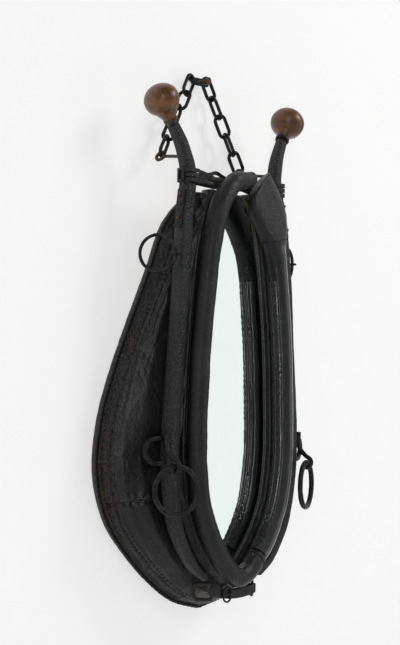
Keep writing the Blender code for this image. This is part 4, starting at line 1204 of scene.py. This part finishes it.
def make_body_stitches(pad, side, sign):
    """Slanting ticks over the outer seam, and a running stitch along the inner one."""
    tree = surface_of(pad)
    _, rim = throat_and_rim(1200)
    run = run_of(rim[:, :3])
    travel = directions(rim[:, :3])
    inward = unit(np.cross(travel, (0.0, 1.0, 0.0)))
    inward = inward * np.sign(np.sum(inward * ((0.05, -0.03, -0.52) - rim[:, :3]), axis=1))[:, None]
    parts = []
    for seam, step, length, lean in RIM_SEAMS:
        for place in np.arange(0.012, run[-1] - 0.004, step):
            k = int(np.searchsorted(run, place))
            spot = rim[k, :3] + inward[k] * (seam + 0.0008 * math.sin(place * 610.0))
            found, normal = on_front(tree, sign * spot[0], spot[2])
            if found is None or normal[1] > -0.15:
                continue
            along = (travel[k] * (1 - lean) + inward[k] * lean) * (sign, 1.0, 1.0)
            parts.append(stitch(found, along, normal, length, 0.00055))
    fit(many_skins(f"body_stitches_{side}", parts, BLACK_THREAD), "piping_leather")


def make_piping(side, sign):
    """A thin rolled welt round the rim, whipped over with diagonal thread."""
    radius = 0.0022
    throat, rim = throat_and_rim(700)
    out = unit(np.column_stack((rim[:, 0] - throat[:, 0], np.zeros(700), rim[:, 2] - throat[:, 1])))
    line = rim[:, :3] + out * (radius - 0.0004)
    line[:, 0] = np.maximum(line[:, 0], radius + 0.0006)
    line = line[30:] * (sign, 1.0, 1.0)
    rings = tube_rings(line, radius * (1.0 + 0.07 * rolling(line, 0.007, 97.0)), 14)
    fit(skin(f"rim_welt_{side}", rings, STRAP_LEATHER), "piping_leather", f"rim_piping_{side}")
    run = run_of(line)
    one, two = carried(line, (0.0, 1.0, 0.0))
    parts = []
    for place in np.arange(0.006, run[-1] - 0.010, 0.0118):
        place = place + 0.0022 * math.sin(place * 910.0)
        turn = np.linspace(0.0, 1.75 * math.pi, 14)
        k = np.searchsorted(run, place + 0.0052 * turn / turn[-1]).clip(0, len(line) - 1)
        thread = line[k] + ring_about(one[k], two[k], turn) * (radius + 0.0002)
        parts.append((tube_rings(thread, 0.00045, 6), False))
    fit(many_skins(f"rim_whips_{side}", parts, BLACK_THREAD), "piping_leather")


def make_lining(side):
    """Sacking over the straw at the back, with soft lumps on its back face."""
    lining = copy_of(f"back_lining_{side}", f"back_canvas_{side}", CANVAS)
    remeshed(lining, 0.0016, 3)
    points = vertices_of(lining)
    normals = normals_of(lining)
    relief = rolling(points, 0.030, 101.0) * 0.0010 + rolling(points, 0.010, 102.0) * 0.00035
    behind = np.clip(normals[:, 1], 0.0, 1.0)
    move_vertices(lining, points + normals * (relief * behind)[:, None])
    fit(lining, "canvas", f"back_lining_{side}")


def make_folded_edge(side, sign):
    """The leather folded round the rim, between the pad and the welt."""
    throat, rim = throat_and_rim(320)
    out = unit(rim[:, [0, 2]] - throat)
    half_wide, half_deep = 0.0064, 0.0100
    x, z, b = swept_oval(rim[:, [0, 2]] - out * (half_wide + 0.0002), out, half_wide, 0.8, 32)
    pucker = 1.0 + 0.08 * rolling(rim[:, :3], 0.009, 47.0)
    y = rim[:, 1:2] + 0.0035 + b * half_deep * pucker[:, None]
    rings = np.stack((np.maximum(x, 0.0006), y, z), axis=2)
    edge = skin(f"rim_edge_{side}", rings * (sign, 1.0, 1.0), BODY_LEATHER)
    paint(edge, "band", np.ones(len(edge.data.vertices)))
    paint(edge, "wear", bell(vertices_of(edge)[:, 2] + 0.640, 0.070))
    fit(edge, "body_leather")


def make_roll_joint(roll):
    """Thread over the joint low in the roll."""
    tree = surface_of(roll)
    parts = []
    for k in range(9):
        x = 0.026 + 0.0042 * k
        z = SEAM_Z + 0.010 - 0.0052 * k
        found, normal = on_front(tree, x, z)
        if found is None:
            continue
        along = np.array((0.70, 0.0, -0.71)) + 0.25 * np.array((0.71, 0.0, 0.70)) * (-1) ** k
        parts.append(stitch(found, along, normal, 0.0078, 0.00075))
    fit(many_skins("roll_joint_stitches", parts, BLACK_THREAD), "roll_leather")


make_chain()
make_rings()
make_knobs()
make_lashing()
make_knot()
make_bottom_strap()
make_mirror_cord()
for side, sign in SIDES.items():
    make_piping(side, sign)
    make_lining(side)

# ---- Making the soft pieces ----

for side, sign in SIDES.items():
    make_body(side, sign)
    make_neck(side, sign)
    make_folded_edge(side, sign)
make_rolls()
make_hames()
make_cap()
make_roll_joint(bpy.data.objects["roll_left"])


# ---- CAD nodes that keep their shape ----


def dress(material, *nodes):
    for node in nodes:
        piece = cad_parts[node]
        piece.data.materials.clear()
        piece.data.materials.append(material)


dress(MIRROR_SILVER, "mirror_glass")
dress(BOARD, "mirror_backing")
dress(RUSTY_IRON, "wall_nail")
